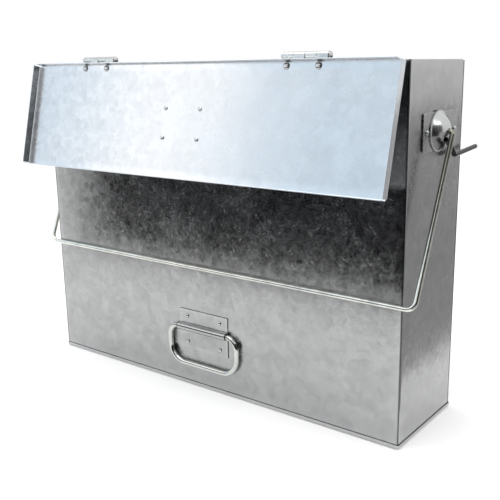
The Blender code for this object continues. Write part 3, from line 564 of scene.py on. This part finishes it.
def foldedStrip(name, node, corners, radii, xs, finish):
    # a folded section in y and z carried along x
    fold, bent = bendPath(corners, radii)
    x, i = np.meshgrid(np.asarray(xs, float), np.arange(len(fold)), indexing="ij")
    pts = np.stack([x, fold[i, 0], fold[i, 1]], axis=-1)
    wear = np.maximum(0.8 * bent[i], np.isin(i, [0, len(fold) - 1]) * 1.0)
    mesh = makeMesh(name, pts, gridQuads(len(x), len(fold)), wear=wear)
    seat(name, mesh, node, finish, thick=sheetT, edge=box["edge"])


baffleY = backY - 2 * (sheetT + gap) - sheetT / 2
bendZ = box["windowHigh"] + feed["rise"]
baffleX = halfW - sheetT - gap
foldedStrip("bafflePiece", "feed_baffle",
            [(baffleY, bendZ + feed["flange"]), (baffleY, bendZ), (feed["footY"], feed["footZ"]),
             (feed["footY"], feed["footZ"] - feed["hem"])],
            [0, feed["bend"], feed["bend"], 0], np.linspace(-baffleX, baffleX, 25), innerSheet)
inner = backY - sheetT - gap - sheetT / 2
outer = backY + gap + sheetT / 2
lipTop = box["windowLow"] + gap + sheetT / 2
edgeHalf = box["windowHalf"] - gap
foldedStrip("windowEdging", "window_edging",
            [(inner, lipTop - feed["edging"]), (inner, lipTop), (outer, lipTop),
             (outer, lipTop - feed["edging"])],
            [0, 0.7, 0.7, 0], np.linspace(-edgeHalf, edgeHalf, 21), frontSheet)


# lid

lid = dict(
    tilt=13.8,             # degrees off plumb when open
    outerH=3.8,            # outer face from the hinge axis
    frontS=6.7,            # inside of the hinge-side flange
    flange=8.2,
    reach=123.5,           # inside of the far flange
    sideX=240.6,
    frontX=236.4,
    bend=1.2,
    sag=0.25,
)
hingeAxis = jointAt["lid_hinge"]
openAngle = -math.radians(90 + lid["tilt"])


def lidPiece():
    # one blank: flanges fold from all four sides, corner cells are notched away
    mid = lid["outerH"] + sheetT / 2
    deep = lid["outerH"] + sheetT + lid["flange"]
    sx = lid["sideX"] + sheetT / 2
    s0 = lid["frontS"] - sheetT / 2
    s1 = lid["reach"] + sheetT / 2
    r = lid["bend"]
    across, bentA = bendPath([(-sx, deep), (-sx, mid), (-lid["frontX"], mid), (lid["frontX"], mid),
                              (sx, mid), (sx, deep)], [0, r, 0, 0, r, 0], seg=6, step=12.0)
    along, bentB = bendPath([(s0, deep), (s0, mid), (s1, mid), (s1, deep)], [0, r, r, 0], seg=6, step=8.0)
    i, j = np.meshgrid(np.arange(len(across)), np.arange(len(along)), indexing="ij")
    x = across[i, 0]
    s = along[j, 0]
    h = across[i, 1] + along[j, 1] - mid
    flat = (across[i, 1] < mid + 1e-6) & (along[j, 1] < mid + 1e-6)
    push = sag(x, s, (-sx, sx), (s0, s1), lid["sag"], 1.3)
    h = h + np.where(flat, np.clip(push, -0.2, 0.25), 0)
    ma, mb = np.meshgrid(np.arange(len(across) - 1), np.arange(len(along) - 1), indexing="ij")
    flapA = cellMid(across[:, 1])[ma] > mid + 1e-6
    flapB = cellMid(along[:, 1])[mb] > mid + 1e-6
    nearHinge = cellMid(along[:, 0])[mb] < lid["reach"] / 2
    keep = ~(flapA & flapB)
    keep &= ~(flapB & nearHinge & (np.abs(cellMid(across[:, 0])[ma]) > lid["frontX"]))
    wear = np.maximum(np.maximum(bentA[i], bentB[j]) * 0.9, rimWear(x, s, (-sx, sx), (s0, s1), 5.0))
    pts = turned(np.stack([x, s, -h], axis=-1), openAngle, [0, hingeAxis[1], hingeAxis[2]])
    mesh = makeMesh("lidPiece", pts, gridQuads(len(across), len(along), keep=keep), wear=wear)
    seat("lidPiece", mesh, "lid_tray", lidSheetPaintedBright, thick=sheetT, edge=box["edge"])


lidPiece()
print("feed parts and lid made")


# hinges

hinge = dict(x=139.1, length=50.0, leaf=18.0, thick=1.2, barrel=3.5, knuckles=4, curl=280.0, slit=0.3,
             edge=0.18, pinClear=0.08, headR=3.0, headT=1.2)


def leafPiece(name, node, centreX, onLid):
    # flat run, then an arc about the pin; knuckle slits leave out every other set of cells
    r = hinge["barrel"] - hinge["thick"] / 2
    root = -(hinge["barrel"] + 0.4)
    a = np.radians(np.linspace(0, hinge["curl"], 45))
    flat = np.array([(r, -hinge["leaf"]), (r, (root - hinge["leaf"]) / 2), (r, root)])
    path = np.vstack([flat, np.stack([r * np.cos(a), r * np.sin(a)], axis=-1)])
    pitch = hinge["length"] / hinge["knuckles"]
    cuts = np.arange(1, hinge["knuckles"]) * pitch - hinge["length"] / 2
    xs = np.sort(np.concatenate([[-hinge["length"] / 2, hinge["length"] / 2], cuts - hinge["slit"] / 2,
                                 cuts + hinge["slit"] / 2]))
    x, i = np.meshgrid(xs, np.arange(len(path)), indexing="ij")
    y, z = path[i, 0], path[i, 1]
    if onLid:
        y, z = -z, -y
    col, row = np.meshgrid(np.arange(len(xs) - 1), np.arange(len(path) - 1), indexing="ij")
    mine = (col % 2 == 0) & ((col // 2) % 2 == (1 if onLid else 0))
    keep = (row < 2) | mine
    wear = np.where(i > 2, 0.7, 0.0) + np.isin(i, [0]) * 0.6
    pts = turned(np.stack([x + centreX, y, z], axis=-1), openAngle if onLid else 0.0,
                 [0, hingeAxis[1], hingeAxis[2]])
    mesh = makeMesh(name, pts, gridQuads(len(xs), len(path), keep=keep), wear=wear)
    seat(name, mesh, node, hingeZinc, thick=hinge["thick"], edge=hinge["edge"])


def revolve(profile, steps=48):
    # a profile of radius and height turned about its own axis, height along the third column
    p = np.asarray(profile, float)
    a = np.linspace(0, 2 * math.pi, steps, endpoint=False)
    r = p[:, 0][:, None]
    high = np.broadcast_to(p[:, 1][:, None], (len(p), steps))
    pts = np.stack([r * np.cos(a), r * np.sin(a), high], axis=-1)
    quads = gridQuads(len(p), steps, loopCols=True)
    return pts, quads


def placeAlong(pts, at, direction):
    # sends the third column along a direction
    d = np.asarray(direction, float) / np.linalg.norm(direction)
    u = np.cross(d, [1.0, 0, 0]) if abs(d[0]) < 0.9 else np.cross(d, [0, 1.0, 0])
    u /= np.linalg.norm(u)
    v = np.cross(d, u)
    return pts[..., :1] * u + pts[..., 1:2] * v + pts[..., 2:] * d + np.asarray(at, float)


def turnedPiece(name, node, profile, at, direction, finish):
    pts, quads = revolve(profile)
    wear = np.broadcast_to(np.linspace(0.2, 1.0, len(profile))[:, None], pts.shape[:2])
    mesh = makeMesh(name, placeAlong(pts, at, direction), quads, wear=wear)
    outward(mesh, 0.0005)
    seat(name, mesh, node, finish)


def rivetProfile(shank, headR, headH, grip, tailR, tailH):
    # an oval head, the shank, and a smaller oval tail; small flats keep the rims crisp
    a = np.linspace(0, math.pi / 2, 9)
    low = -gap / 2
    high = grip + gap / 2
    tail = np.stack([tailR * np.sin(a), low - tailH * np.cos(a)], axis=-1)
    head = np.stack([headR * np.cos(a), high + headH * np.sin(a) ** 0.9], axis=-1)
    return np.vstack([[[0.0, low - tailH]], tail[1:], [[tailR - 0.08, low]], [[shank, low], [shank, high]],
                      [[headR - 0.08, high]], head[:-1], [[0.0, high + headH]]])


rivet = dict(smallShank=1.5, smallR=2.4, smallH=1.6, bigShank=2.0, bigR=3.6, bigH=2.2, stopH=3.2, flatH=0.7,
             hingeS=10.4, hingeX=17.5)
hingeRivetX = [sign * hinge["x"] + off for sign in (-1, 1) for off in (-rivet["hingeX"], rivet["hingeX"])]
leafGrip = sheetT + gap + hinge["thick"]
pinR = hinge["barrel"] - hinge["thick"] - hinge["pinClear"]
pinHalf = hinge["length"] / 2 + gap
t = hinge["headT"]
pinEnd = [(0.0, -pinHalf - t), (hinge["headR"] - 0.5, -pinHalf - t),
          (hinge["headR"] - 0.12, -pinHalf - t + 0.12), (hinge["headR"], -pinHalf - t + 0.5),
          (hinge["headR"], -pinHalf), (pinR, -pinHalf)]
pinProfile = pinEnd + [(r, -z) for r, z in reversed(pinEnd)]
for side, sign in (("Left", -1), ("Right", 1)):
    low = side.lower()
    leafPiece("bodyLeaf" + side, "hinge_body_leaf_" + low, sign * hinge["x"], False)
    leafPiece("lidLeaf" + side, "hinge_lid_leaf_" + low, sign * hinge["x"], True)
    turnedPiece("hingePin" + side, "hinge_pin_" + low, pinProfile,
                [sign * hinge["x"], hingeAxis[1], hingeAxis[2]], [1, 0, 0], rivetSteel)


def lidPoint(x, s, h):
    return turned(np.array([x, s, -h]), openAngle, [0, hingeAxis[1], hingeAxis[2]])


lidOut = turned(np.array([0, 0, 1.0]), openAngle, [0, 0, 0])
bigRivet = (rivet["bigShank"], rivet["bigR"], rivet["stopH"], leafGrip, rivet["bigR"])
stopProfile = rivetProfile(*bigRivet, rivet["flatH"])
lidProfile = rivetProfile(*bigRivet, rivet["bigH"])
for n, x in enumerate(hingeRivetX, 1):
    z = hingeAxis[2] - rivet["hingeS"]
    turnedPiece("bodyHingeRivet%d" % n, "body_hinge_rivet_%d" % n, stopProfile, [x, frontY + sheetT, z],
                [0, -1, 0], rivetSteel)
    turnedPiece("lidHingeRivet%d" % n, "lid_hinge_rivet_%d" % n, lidProfile,
                lidPoint(x, rivet["hingeS"], lid["outerH"] + sheetT), lidOut, rivetSteel)
print("hinges made")


# tubes

def tube(name, node, path, radius, finish, closed=False, sides=24, wear=None, darkPaint=None, chamfer=0.5):
    # a circle carried along the path; open ends draw in over a small chamfer and are capped
    p = np.asarray(path, float)
    r = np.full(len(p), float(radius))
    if not closed:
        tan0 = (p[1] - p[0]) / np.linalg.norm(p[1] - p[0])
        tan1 = (p[-1] - p[-2]) / np.linalg.norm(p[-1] - p[-2])
        p = np.vstack([p[:1], p[:1] + tan0 * chamfer, p[1:-1], p[-1:] - tan1 * chamfer, p[-1:]])
        r = np.concatenate([[radius - chamfer], np.full(len(p) - 2, float(radius)), [radius - chamfer]])
    side, up = frames(p, closed)
    a = np.linspace(0, 2 * math.pi, sides, endpoint=False)
    ring = np.cos(a)[None, :, None] * side[:, None, :] + np.sin(a)[None, :, None] * up[:, None, :]
    pts = p[:, None, :] + ring * r[:, None, None]
    step = np.linalg.norm(np.diff(p, axis=0), axis=1)
    run = np.concatenate([[0], np.cumsum(step)]) * mm
    uv = np.stack(np.broadcast_arrays(run[:, None], (np.arange(sides) / sides * 0.02)[None, :]), axis=-1)
    rubbed = np.zeros(len(p)) if wear is None else wear(p)
    # the second mark is painted dark: painted shade on the handle rings, a painted dark reflection on the
    # bail
    darkPainted = np.zeros(len(p)) if darkPaint is None else darkPaint(p)
    rows = len(p)
    ends = () if closed else (np.arange(sides), (rows - 1) * sides + np.arange(sides))
    mesh = makeMesh(name, pts, gridQuads(rows, sides, loopRows=closed, loopCols=True), ends=ends, uv=uv,
                    wear=np.broadcast_to(rubbed[:, None], (rows, sides)),
                    paintedDarkMark=np.broadcast_to(darkPainted[:, None], (rows, sides)))
    outward(mesh)
    return seat(name, mesh, node, finish)


def roundedRun(corners, radii, seg, closed=False, step=6.0):
    # bendPath for closed loops too: start half way along the first side
    pts = np.asarray(corners, float)
    if not closed:
        return bendPath(pts, radii, seg=seg, step=step)[0]
    start = (pts[0] + pts[-1]) / 2
    loop = np.vstack([start[None], pts, start[None]])
    return bendPath(loop, [0, *radii, 0], seg=seg, step=step)[0][:-1]


# ears, hooks and bail

ear = dict(length=73.5, height=35.0, thick=1.2, corner=2.0, rivetY=29.7, flangeR=19.0, domeR=17.4, domeH=10.5,
           domeT=0.9, cut=4.5, edge=0.2)
# the last three numbers set the painted dark reflection on the upper arms: the height where it starts, the
# height it takes to fade in, and its strength
bail = dict(radius=2.5, runZ=141.0, toeIn=2.7, corner=9.0, neck=3.0, sideClear=0.9, neckClear=0.09,
            headR=4.2, headT=1.4, sink=0.5, rubOver=14.0, darkPaintFrom=205.0, darkPaintOver=70.0, darkPaint=0.75)
hook = dict(radius=2.4, start=(8.5, 1.2), mid=(17.0, 13.5), bend=25.0, drop=24.0, reach=76.0, rise=3.5,
            splay=2.0, bends=(4.0, 3.5))
pivot = jointAt["bail_pivot"]
pivotY, pivotZ = pivot[1], pivot[2]
earY = sum(c[1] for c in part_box("ear_plate_right")) / 2 / mm
earX0 = halfW + gap
earX1 = earX0 + ear["thick"]
domeX0 = earX1 + gap
apexX = domeX0 + ear["domeH"]
armX = apexX + bail["sideClear"] + bail["radius"]


def earPlate(side, sign):
    # rounded outline filled by rings that shrink towards the middle
    r = ear["corner"]
    hy, hz = ear["length"] / 2, ear["height"] / 2
    a = np.linspace(0, math.pi / 2, 7)
    spots = [(hy - r, hz - r), (-hy + r, hz - r), (-hy + r, -hz + r), (hy - r, -hz + r)]
    turns = [a + k * math.pi / 2 for k in range(4)]
    loop = np.vstack([np.stack([cy + r * np.cos(t), cz + r * np.sin(t)], axis=-1)
                      for t, (cy, cz) in zip(turns, spots)])
    shrink = np.array([1.0, 0.97, 0.9, 0.6, 0.3])
    yz = loop[None] * shrink[:, None, None]
    x = np.full((*yz.shape[:2], 1), sign * (earX0 + earX1) / 2)
    pts = np.concatenate([x, yz + [earY, pivotZ]], axis=-1)
    rows, cols = yz.shape[:2]
    wear = np.broadcast_to(np.array([1.0, 0.6, 0.1, 0, 0])[:, None], (rows, cols))
    mesh = makeMesh("earPlate" + side, pts, gridQuads(rows, cols, loopCols=True),
                    ends=[(rows - 1) * cols + np.arange(cols)], wear=wear)
    outward(mesh)
    seat("earPlate" + side, mesh, "ear_plate_" + side.lower(), earZinc, thick=ear["thick"], edge=ear["edge"])


def domePiece(side, sign):
    # cap of a sphere from the neck hole to its rim; below the cut line it stops short of the rim
    ball = (ear["domeR"] ** 2 + ear["domeH"] ** 2) / (2 * ear["domeH"]) - ear["domeT"] / 2
    topH = ear["domeH"] - ear["domeT"] / 2
    neck = bail["radius"] + bail["neckClear"] + 0.05
    base = ear["domeT"] / 2
    footR = math.sqrt(ball ** 2 - (ball - topH + base) ** 2)
    a = np.linspace(0, 2 * math.pi, 120, endpoint=False)
    limit = ear["cut"] / np.maximum(-np.sin(a), 1e-6)
    reach = np.where(np.sin(a) < 0, np.minimum(footR - 0.9, np.maximum(limit, neck + 0.3)), footR - 0.9)
    t = np.linspace(0, 1, 18)[:, None]
    capR = neck + (reach[None] - neck) * t
    capH = topH - ball + np.sqrt(ball ** 2 - capR ** 2)
    # a small sweep joins the cap to the flat rim
    b = np.linspace(0, 1, 5)[1:, None]
    sweepR = (footR - 0.9) + 1.9 * b + 0 * reach[None]
    startH = topH - ball + math.sqrt(ball ** 2 - (footR - 0.9) ** 2)
    sweepH = base + (startH - base) * (1 - b) ** 2 + 0 * reach[None]
    flatR = np.array([footR + 1.0, ear["flangeR"] - 0.5, ear["flangeR"]])[1:, None] + 0 * reach[None]
    flatH = np.full_like(flatR, base)
    r = np.vstack([capR, sweepR, flatR])
    h = np.vstack([capH, sweepH, flatH])
    rows, cols = r.shape
    pts = np.stack([sign * (domeX0 + h), pivotY + r * np.cos(a), pivotZ + r * np.sin(a)], axis=-1)
    cutHere = reach < footR - 0.9 - 1e-6
    colCut = cutHere | np.roll(cutHere, -1)
    row, col = np.meshgrid(np.arange(rows - 1), np.arange(cols), indexing="ij")
    keep = ~(colCut[col] & (row >= 17) & (row < 20))
    wear = np.broadcast_to(np.linspace(0.3, 1.0, rows)[:, None] ** 3, (rows, cols))
    mesh = makeMesh("earDome" + side, pts, gridQuads(rows, cols, loopCols=True, keep=keep), wear=wear)
    seat("earDome" + side, mesh, "ear_dome_" + side.lower(), domeZinc, thick=ear["domeT"], edge=0.12)


def hookPiece(side, sign):
    # a wire from under the dome, down to a bend and back: y and z are counted from the bail's pivot
    xIn = domeX0 + ear["domeT"] + gap + hook["radius"]
    xMid = domeX0 + ear["domeT"] + 2 * gap + hook["radius"]
    xOut = xMid + hook["splay"]
    startZ = pivotZ - ear["cut"] - hook["radius"] - hook["start"][1]
    corners = [(sign * xIn, pivotY + hook["start"][0], startZ),
               (sign * xMid, pivotY + hook["mid"][0], pivotZ - hook["mid"][1]),
               (sign * xOut, pivotY + hook["bend"], pivotZ - hook["drop"]),
               (sign * xOut, pivotY + hook["reach"], pivotZ - hook["drop"] + hook["rise"])]
    path = roundedRun(corners, [0, *hook["bends"], 0], 12, step=3.0)
    tube("hook" + side, "hook_" + side.lower(), path, hook["radius"], hookWirePaintedDark, chamfer=0.35)


earGrip = sheetT + gap + ear["thick"]
earRivet = rivetProfile(rivet["smallShank"], rivet["smallR"], rivet["smallH"], earGrip, rivet["smallR"],
                        rivet["smallH"] * 0.6)
for side, sign in (("Left", -1), ("Right", 1)):
    earPlate(side, sign)
    domePiece(side, sign)
    hookPiece(side, sign)
    for n, s in ((1, -1), (2, 1)):
        turnedPiece("earRivet%s%d" % (side, n), "ear_rivet_%s_%d" % (side.lower(), n), earRivet,
                    [sign * (halfW - sheetT), earY + s * ear["rivetY"], pivotZ], [sign, 0, 0], rivetSteel)


def bailPiece():
    # one wire: heads and necks in the domes, arms, and the run across the front
    headOut = apexX - ear["domeT"] - gap - bail["sink"]
    neckEnd = headOut - bail["headT"] / 2
    runY = frontY - gap - bail["radius"]
    runX = armX - bail["toeIn"]
    corners = [(-neckEnd, pivotY, pivotZ), (-armX, pivotY, pivotZ), (-runX, runY, bail["runZ"]),
               (runX, runY, bail["runZ"]), (armX, pivotY, pivotZ), (neckEnd, pivotY, pivotZ)]
    bends = [0, bail["neck"], bail["corner"], bail["corner"], bail["neck"], 0]
    path = roundedRun(corners, bends, 12, step=5.0)

    def rubbed(p):
        spots = np.array([[s * x, y, z] for s in (-1, 1)
                          for x, y, z in ((armX, pivotY, pivotZ), (runX, runY, bail["runZ"]))])
        near = np.linalg.norm(p[:, None] - spots[None], axis=2).min(1)
        return np.clip(1 - near / bail["rubOver"], 0, 1)

    def darkPainted(p):
        # painted dark reflection: the arms are darkened more the higher they rise, so the run stays bright
        return np.clip((p[:, 2] - bail["darkPaintFrom"]) / bail["darkPaintOver"], 0, 1) * bail["darkPaint"]

    ob = tube("bailPiece", "bail", path, bail["radius"], bailWire, wear=rubbed, darkPaint=darkPainted, chamfer=0.2,
              sides=28)
    # the upset heads that hold the necks, as discs on the same mesh
    r, e = bail["headR"], 0.35
    top = bail["headT"]
    head = [(0, 0), (r - e, 0), (r - 0.1, 0.1), (r, e), (r, top - e), (r - 0.1, top - 0.1), (r - e, top),
            (0, top)]
    bm = bmesh.new()
    bm.from_mesh(ob.data)
    for s in (-1, 1):
        pts, quads = revolve(head, 32)
        at = [s * (headOut - bail["headT"]), pivotY, pivotZ]
        extra = makeMesh("head", placeAlong(pts, at, [s, 0, 0]), quads)
        outward(extra, 0.0005)
        bm.from_mesh(extra)
        bpy.data.meshes.remove(extra)
    for f in bm.faces:
        f.smooth = True
    bm.to_mesh(ob.data)
    bm.free()


bailPiece()
print("ears, hooks and bail made")


# drop handles

handle = dict(plateW=69.0, plateH=46.0, plateT=1.0, rivetX=23.5, rivetZ=15.2, above=2.7, wire=3.0, clear=0.1,
              halfW=48.4, drop=43.0, bottomR=20.0, endClear=0.5, edge=0.2, foot=0.8, lidS=67.5)


def handlePlate(name, node, at, angle):
    # the plate's section: flat, a half round pressed over the bar, flat again; carried across x
    bore = handle["wire"] + handle["clear"]
    press = bore + handle["plateT"] / 2
    back = gap + handle["plateT"] / 2 - (gap + bore)
    lo = -handle["above"] - handle["plateH"] / 2
    hi = -handle["above"] + handle["plateH"] / 2
    a = np.linspace(-math.pi / 2, math.pi / 2, 17)
    arc = [(press * math.cos(v), press * math.sin(v)) for v in a]
    corners = [(back, lo), (back, -press), *arc, (back, press), (back, hi)]
    radii = [0, handle["foot"], *[0] * len(arc), handle["foot"], 0]
    fold = bendPath(corners, radii, seg=4, step=4.0)[0]
    xs = np.linspace(-handle["plateW"] / 2, handle["plateW"] / 2, 19)
    x, i = np.meshgrid(xs, np.arange(len(fold)), indexing="ij")
    pts = turned(np.stack([x, -fold[i, 0], fold[i, 1]], axis=-1), angle, at)
    wear = np.maximum((fold[i, 0] > 0) * 0.7, rimWear(x, fold[i, 1], (xs[0], xs[-1]), (lo, hi), 3.0))
    mesh = makeMesh(name, pts, gridQuads(len(xs), len(fold)), wear=wear)
    seat(name, mesh, node, frontSheet, thick=handle["plateT"], edge=handle["edge"])


def ringPiece(name, node, at):
    w, d = handle["halfW"], handle["drop"]
    topR = w - (handle["plateW"] / 2 + handle["endClear"])
    corners = [(-w, 0, 0), (w, 0, 0), (w, 0, -d), (-w, 0, -d)]
    path = roundedRun(corners, [topR, topR, handle["bottomR"], handle["bottomR"]], 16, closed=True, step=1.5)
    # painted shade on the wire where it goes under the ends of the plate's pressed strap; the wire's bottom
    # is brighter where worn
    tube(name, node, path + at, handle["wire"], ringWire, closed=True, sides=28,
         wear=lambda p: np.clip((at[2] - d + 8 - p[:, 2]) / 10.0, 0, 1),
         darkPaint=lambda p: np.clip(1 - np.abs(np.abs(p[:, 0]) - handle["plateW"] / 2 - 0.8) / 2.2, 0, 1)
         * (p[:, 2] > at[2] - 4))


frontBar = jointAt["front_ring_pivot"]
lidBar = jointAt["lid_ring_pivot"]
handlePlate("frontHandlePlate", "front_handle_plate", [0, frontBar[1], frontBar[2]], 0.0)
handlePlate("lidHandlePlate", "lid_handle_plate", [0, lidBar[1], lidBar[2]],
            math.pi - math.radians(lid["tilt"]))
ringPiece("frontHandleRing", "front_handle_ring", np.array([0, frontBar[1], frontBar[2]]))
ringPiece("lidHandleRing", "lid_handle_ring", np.array([0, lidBar[1], lidBar[2]]))
handleGrip = sheetT + gap + handle["plateT"]
handleRivet = rivetProfile(rivet["smallShank"], rivet["smallR"], rivet["smallH"], handleGrip, rivet["smallR"],
                           rivet["smallH"] * 0.8)
spots = [(sx * handle["rivetX"], sz * handle["rivetZ"]) for sx in (-1, 1) for sz in (-1, 1)]
for n, (x, z) in enumerate(spots, 1):
    turnedPiece("frontHandleRivet%d" % n, "front_handle_rivet_%d" % n, handleRivet,
                [x, frontY + sheetT, frontBar[2] - handle["above"] + z], [0, -1, 0], rivetSteel)
    turnedPiece("lidHandleRivet%d" % n, "lid_handle_rivet_%d" % n, handleRivet,
                lidPoint(x, handle["lidS"] + z, lid["outerH"] + sheetT), lidOut, rivetSteel)
print("handles made:", len(made), "pieces")


# floor, light and camera

studio = dict(
    eye=(0.5253, -0.6417, 0.3541),
    turn=37.2035,
    look=13.6802,
    roll=-0.8257,
    lens=53.58,
    shift=(-0.0236, -0.0057),
    floorTone=0.92,
    floorLift=0.12,        # lets the floor run into the pale room with no line between them
    roomLow=(0.92, 0.92, 0.925),
    # name, centre, width, height, facing, strength, colour
    boards=[
        ("blackFront", (-0.1, -0.45, 0.125), 1.15, 0.25, (0, 1, 0), 0.0, (0, 0, 0)),
        ("blackRight", (0.66, -0.30, 0.31), 0.9, 0.62, (-0.85, 0.5, 0), 0.0, (0, 0, 0)),
        ("greyRight", (0.62, 0.62, 0.135), 1.4, 0.27, (-1, 0, 0), 0.42, (1, 1, 1)),
        ("greyLow", (0.56, 0.32, 0.004), 1.6, 0.50, (0.001, 0, 1), 0.42, (1, 1, 1)),
        ("blueGlow", (-1.05, -1.2, 0.78), 2.1, 1.0, (0.62, 0.74, -0.18), 0.97, (0.92, 1.08, 1.22)),
        ("whiteGlow", (-1.10, -1.11, 0.75), 0.40, 1.0, (0.62, 0.74, -0.18), 1.85, (1.0, 0.975, 0.965)),
    ],
    # name, place, aim, size, power
    lights=[
        ("overhead", (-0.3, -0.5, 1.9), (0, 0, 0.1), (1.6, 1.2), 16),
        ("fromRight", (1.6, -0.3, 1.1), (0, 0, 0.15), (0.9, 0.9), 5),
    ],
)


def plainFloor():
    mesh = bpy.data.meshes.new("floor")
    a = np.linspace(0, 2 * math.pi, 96, endpoint=False)
    ring = np.stack([6 * np.cos(a), 6 * np.sin(a), np.full(96, -0.0005)], axis=-1)
    mesh.from_pydata(ring.tolist(), [], [list(range(96))])
    ob = bpy.data.objects.new("floor", mesh)
    bpy.context.scene.collection.objects.link(ob)
    mat = bpy.data.materials.new("paleFloor")
    mat.use_nodes = True
    skin = mat.node_tree.nodes["Principled BSDF"]
    skin.inputs["Base Color"].default_value = (*[studio["floorTone"]] * 3, 1)
    skin.inputs["Roughness"].default_value = 0.9
    skin.inputs["Specular IOR Level"].default_value = 0.1
    skin.inputs["Emission Color"].default_value = (1, 1, 1, 1)
    skin.inputs["Emission Strength"].default_value = studio["floorLift"]
    mesh.materials.append(mat)


def panel(name, centre, width, height, facing, strength, colour):
    # a glowing or black board that only shows in reflections
    mesh = bpy.data.meshes.new(name)
    f = np.asarray(facing, float) / np.linalg.norm(facing)
    u = np.cross([0, 0, 1.0], f)
    u /= np.linalg.norm(u)
    v = np.cross(f, u)
    c = np.asarray(centre, float)
    pts = [c - u * width / 2 - v * height / 2, c + u * width / 2 - v * height / 2,
           c + u * width / 2 + v * height / 2, c - u * width / 2 + v * height / 2]
    mesh.from_pydata([tuple(p) for p in pts], [], [(0, 1, 2, 3)])
    ob = bpy.data.objects.new(name, mesh)
    bpy.context.scene.collection.objects.link(ob)
    mat = bpy.data.materials.new(name + "Glow")
    mat.use_nodes = True
    skin = mat.node_tree.nodes["Principled BSDF"]
    skin.inputs["Base Color"].default_value = (0.004, 0.004, 0.005, 1)
    skin.inputs["Roughness"].default_value = 1.0
    skin.inputs["Specular IOR Level"].default_value = 0.0
    skin.inputs["Emission Color"].default_value = (*colour, 1)
    skin.inputs["Emission Strength"].default_value = strength
    mesh.materials.append(mat)
    ob.visible_camera = False
    ob.visible_shadow = False
    ob.visible_diffuse = False


def softLight(name, at, aim, size, power):
    data = bpy.data.lights.new(name, "AREA")
    data.shape = "RECTANGLE"
    data.size, data.size_y = size
    data.energy = power
    ob = bpy.data.objects.new(name, data)
    bpy.context.scene.collection.objects.link(ob)
    d = np.asarray(aim, float) - np.asarray(at, float)
    d /= np.linalg.norm(d)
    u = np.cross(d, [0, 0, 1.0])
    u /= np.linalg.norm(u)
    v = np.cross(u, d)
    ob.matrix_world = Matrix([[u[i], v[i], -d[i], at[i]] for i in range(3)] + [[0, 0, 0, 1]])


def roomLight():
    # pale room: what the camera sees is white, what the metal sees is slightly darker low down
    world = bpy.data.worlds.new("room")
    bpy.context.scene.world = world
    world.use_nodes = True
    world.node_tree.nodes.clear()
    add, join = nodeTool(world)[:2]
    split = add("ShaderNodeSeparateXYZ", (add("ShaderNodeTexCoord"), "Generated"))
    band = ramp(add, (split, "Z"), [(0.0, studio["roomLow"]), (0.55, (1.0, 1.0, 1.0))])
    lit = add("ShaderNodeBackground", band, "Color")
    seen = add("ShaderNodeBackground", Color=(1, 1, 1, 1))
    mix = add("ShaderNodeMixShader", (add("ShaderNodeLightPath"), "Is Camera Ray"), 0)
    join(lit, 0, mix, 1)
    join(seen, 0, mix, 2)
    add("ShaderNodeOutputWorld", (mix, 0), "Surface")


def camera():
    data = bpy.data.cameras.new("camera")
    ob = bpy.data.objects.new("camera", data)
    bpy.context.scene.collection.objects.link(ob)
    a, e, r = [math.radians(studio[k]) for k in ("turn", "look", "roll")]
    back = np.array([math.sin(a) * math.cos(e), -math.cos(a) * math.cos(e), math.sin(e)])
    right = np.cross(-back, [0, 0, 1.0])
    right /= np.linalg.norm(right)
    up = np.cross(right, -back)
    x = right * math.cos(r) + up * math.sin(r)
    y = -right * math.sin(r) + up * math.cos(r)
    ob.matrix_world = Matrix([[x[i], y[i], back[i], studio["eye"][i]] for i in range(3)] + [[0, 0, 0, 1]])
    data.lens = studio["lens"]
    data.sensor_width = 36
    data.shift_x, data.shift_y = studio["shift"]
    data.clip_start = 0.02
    bpy.context.scene.camera = ob


plainFloor()
roomLight()
for board in studio["boards"]:
    panel(*board)
for light in studio["lights"]:
    softLight(*light)
camera()
bpy.context.scene.view_settings.view_transform = "Standard"
print("studio ready")
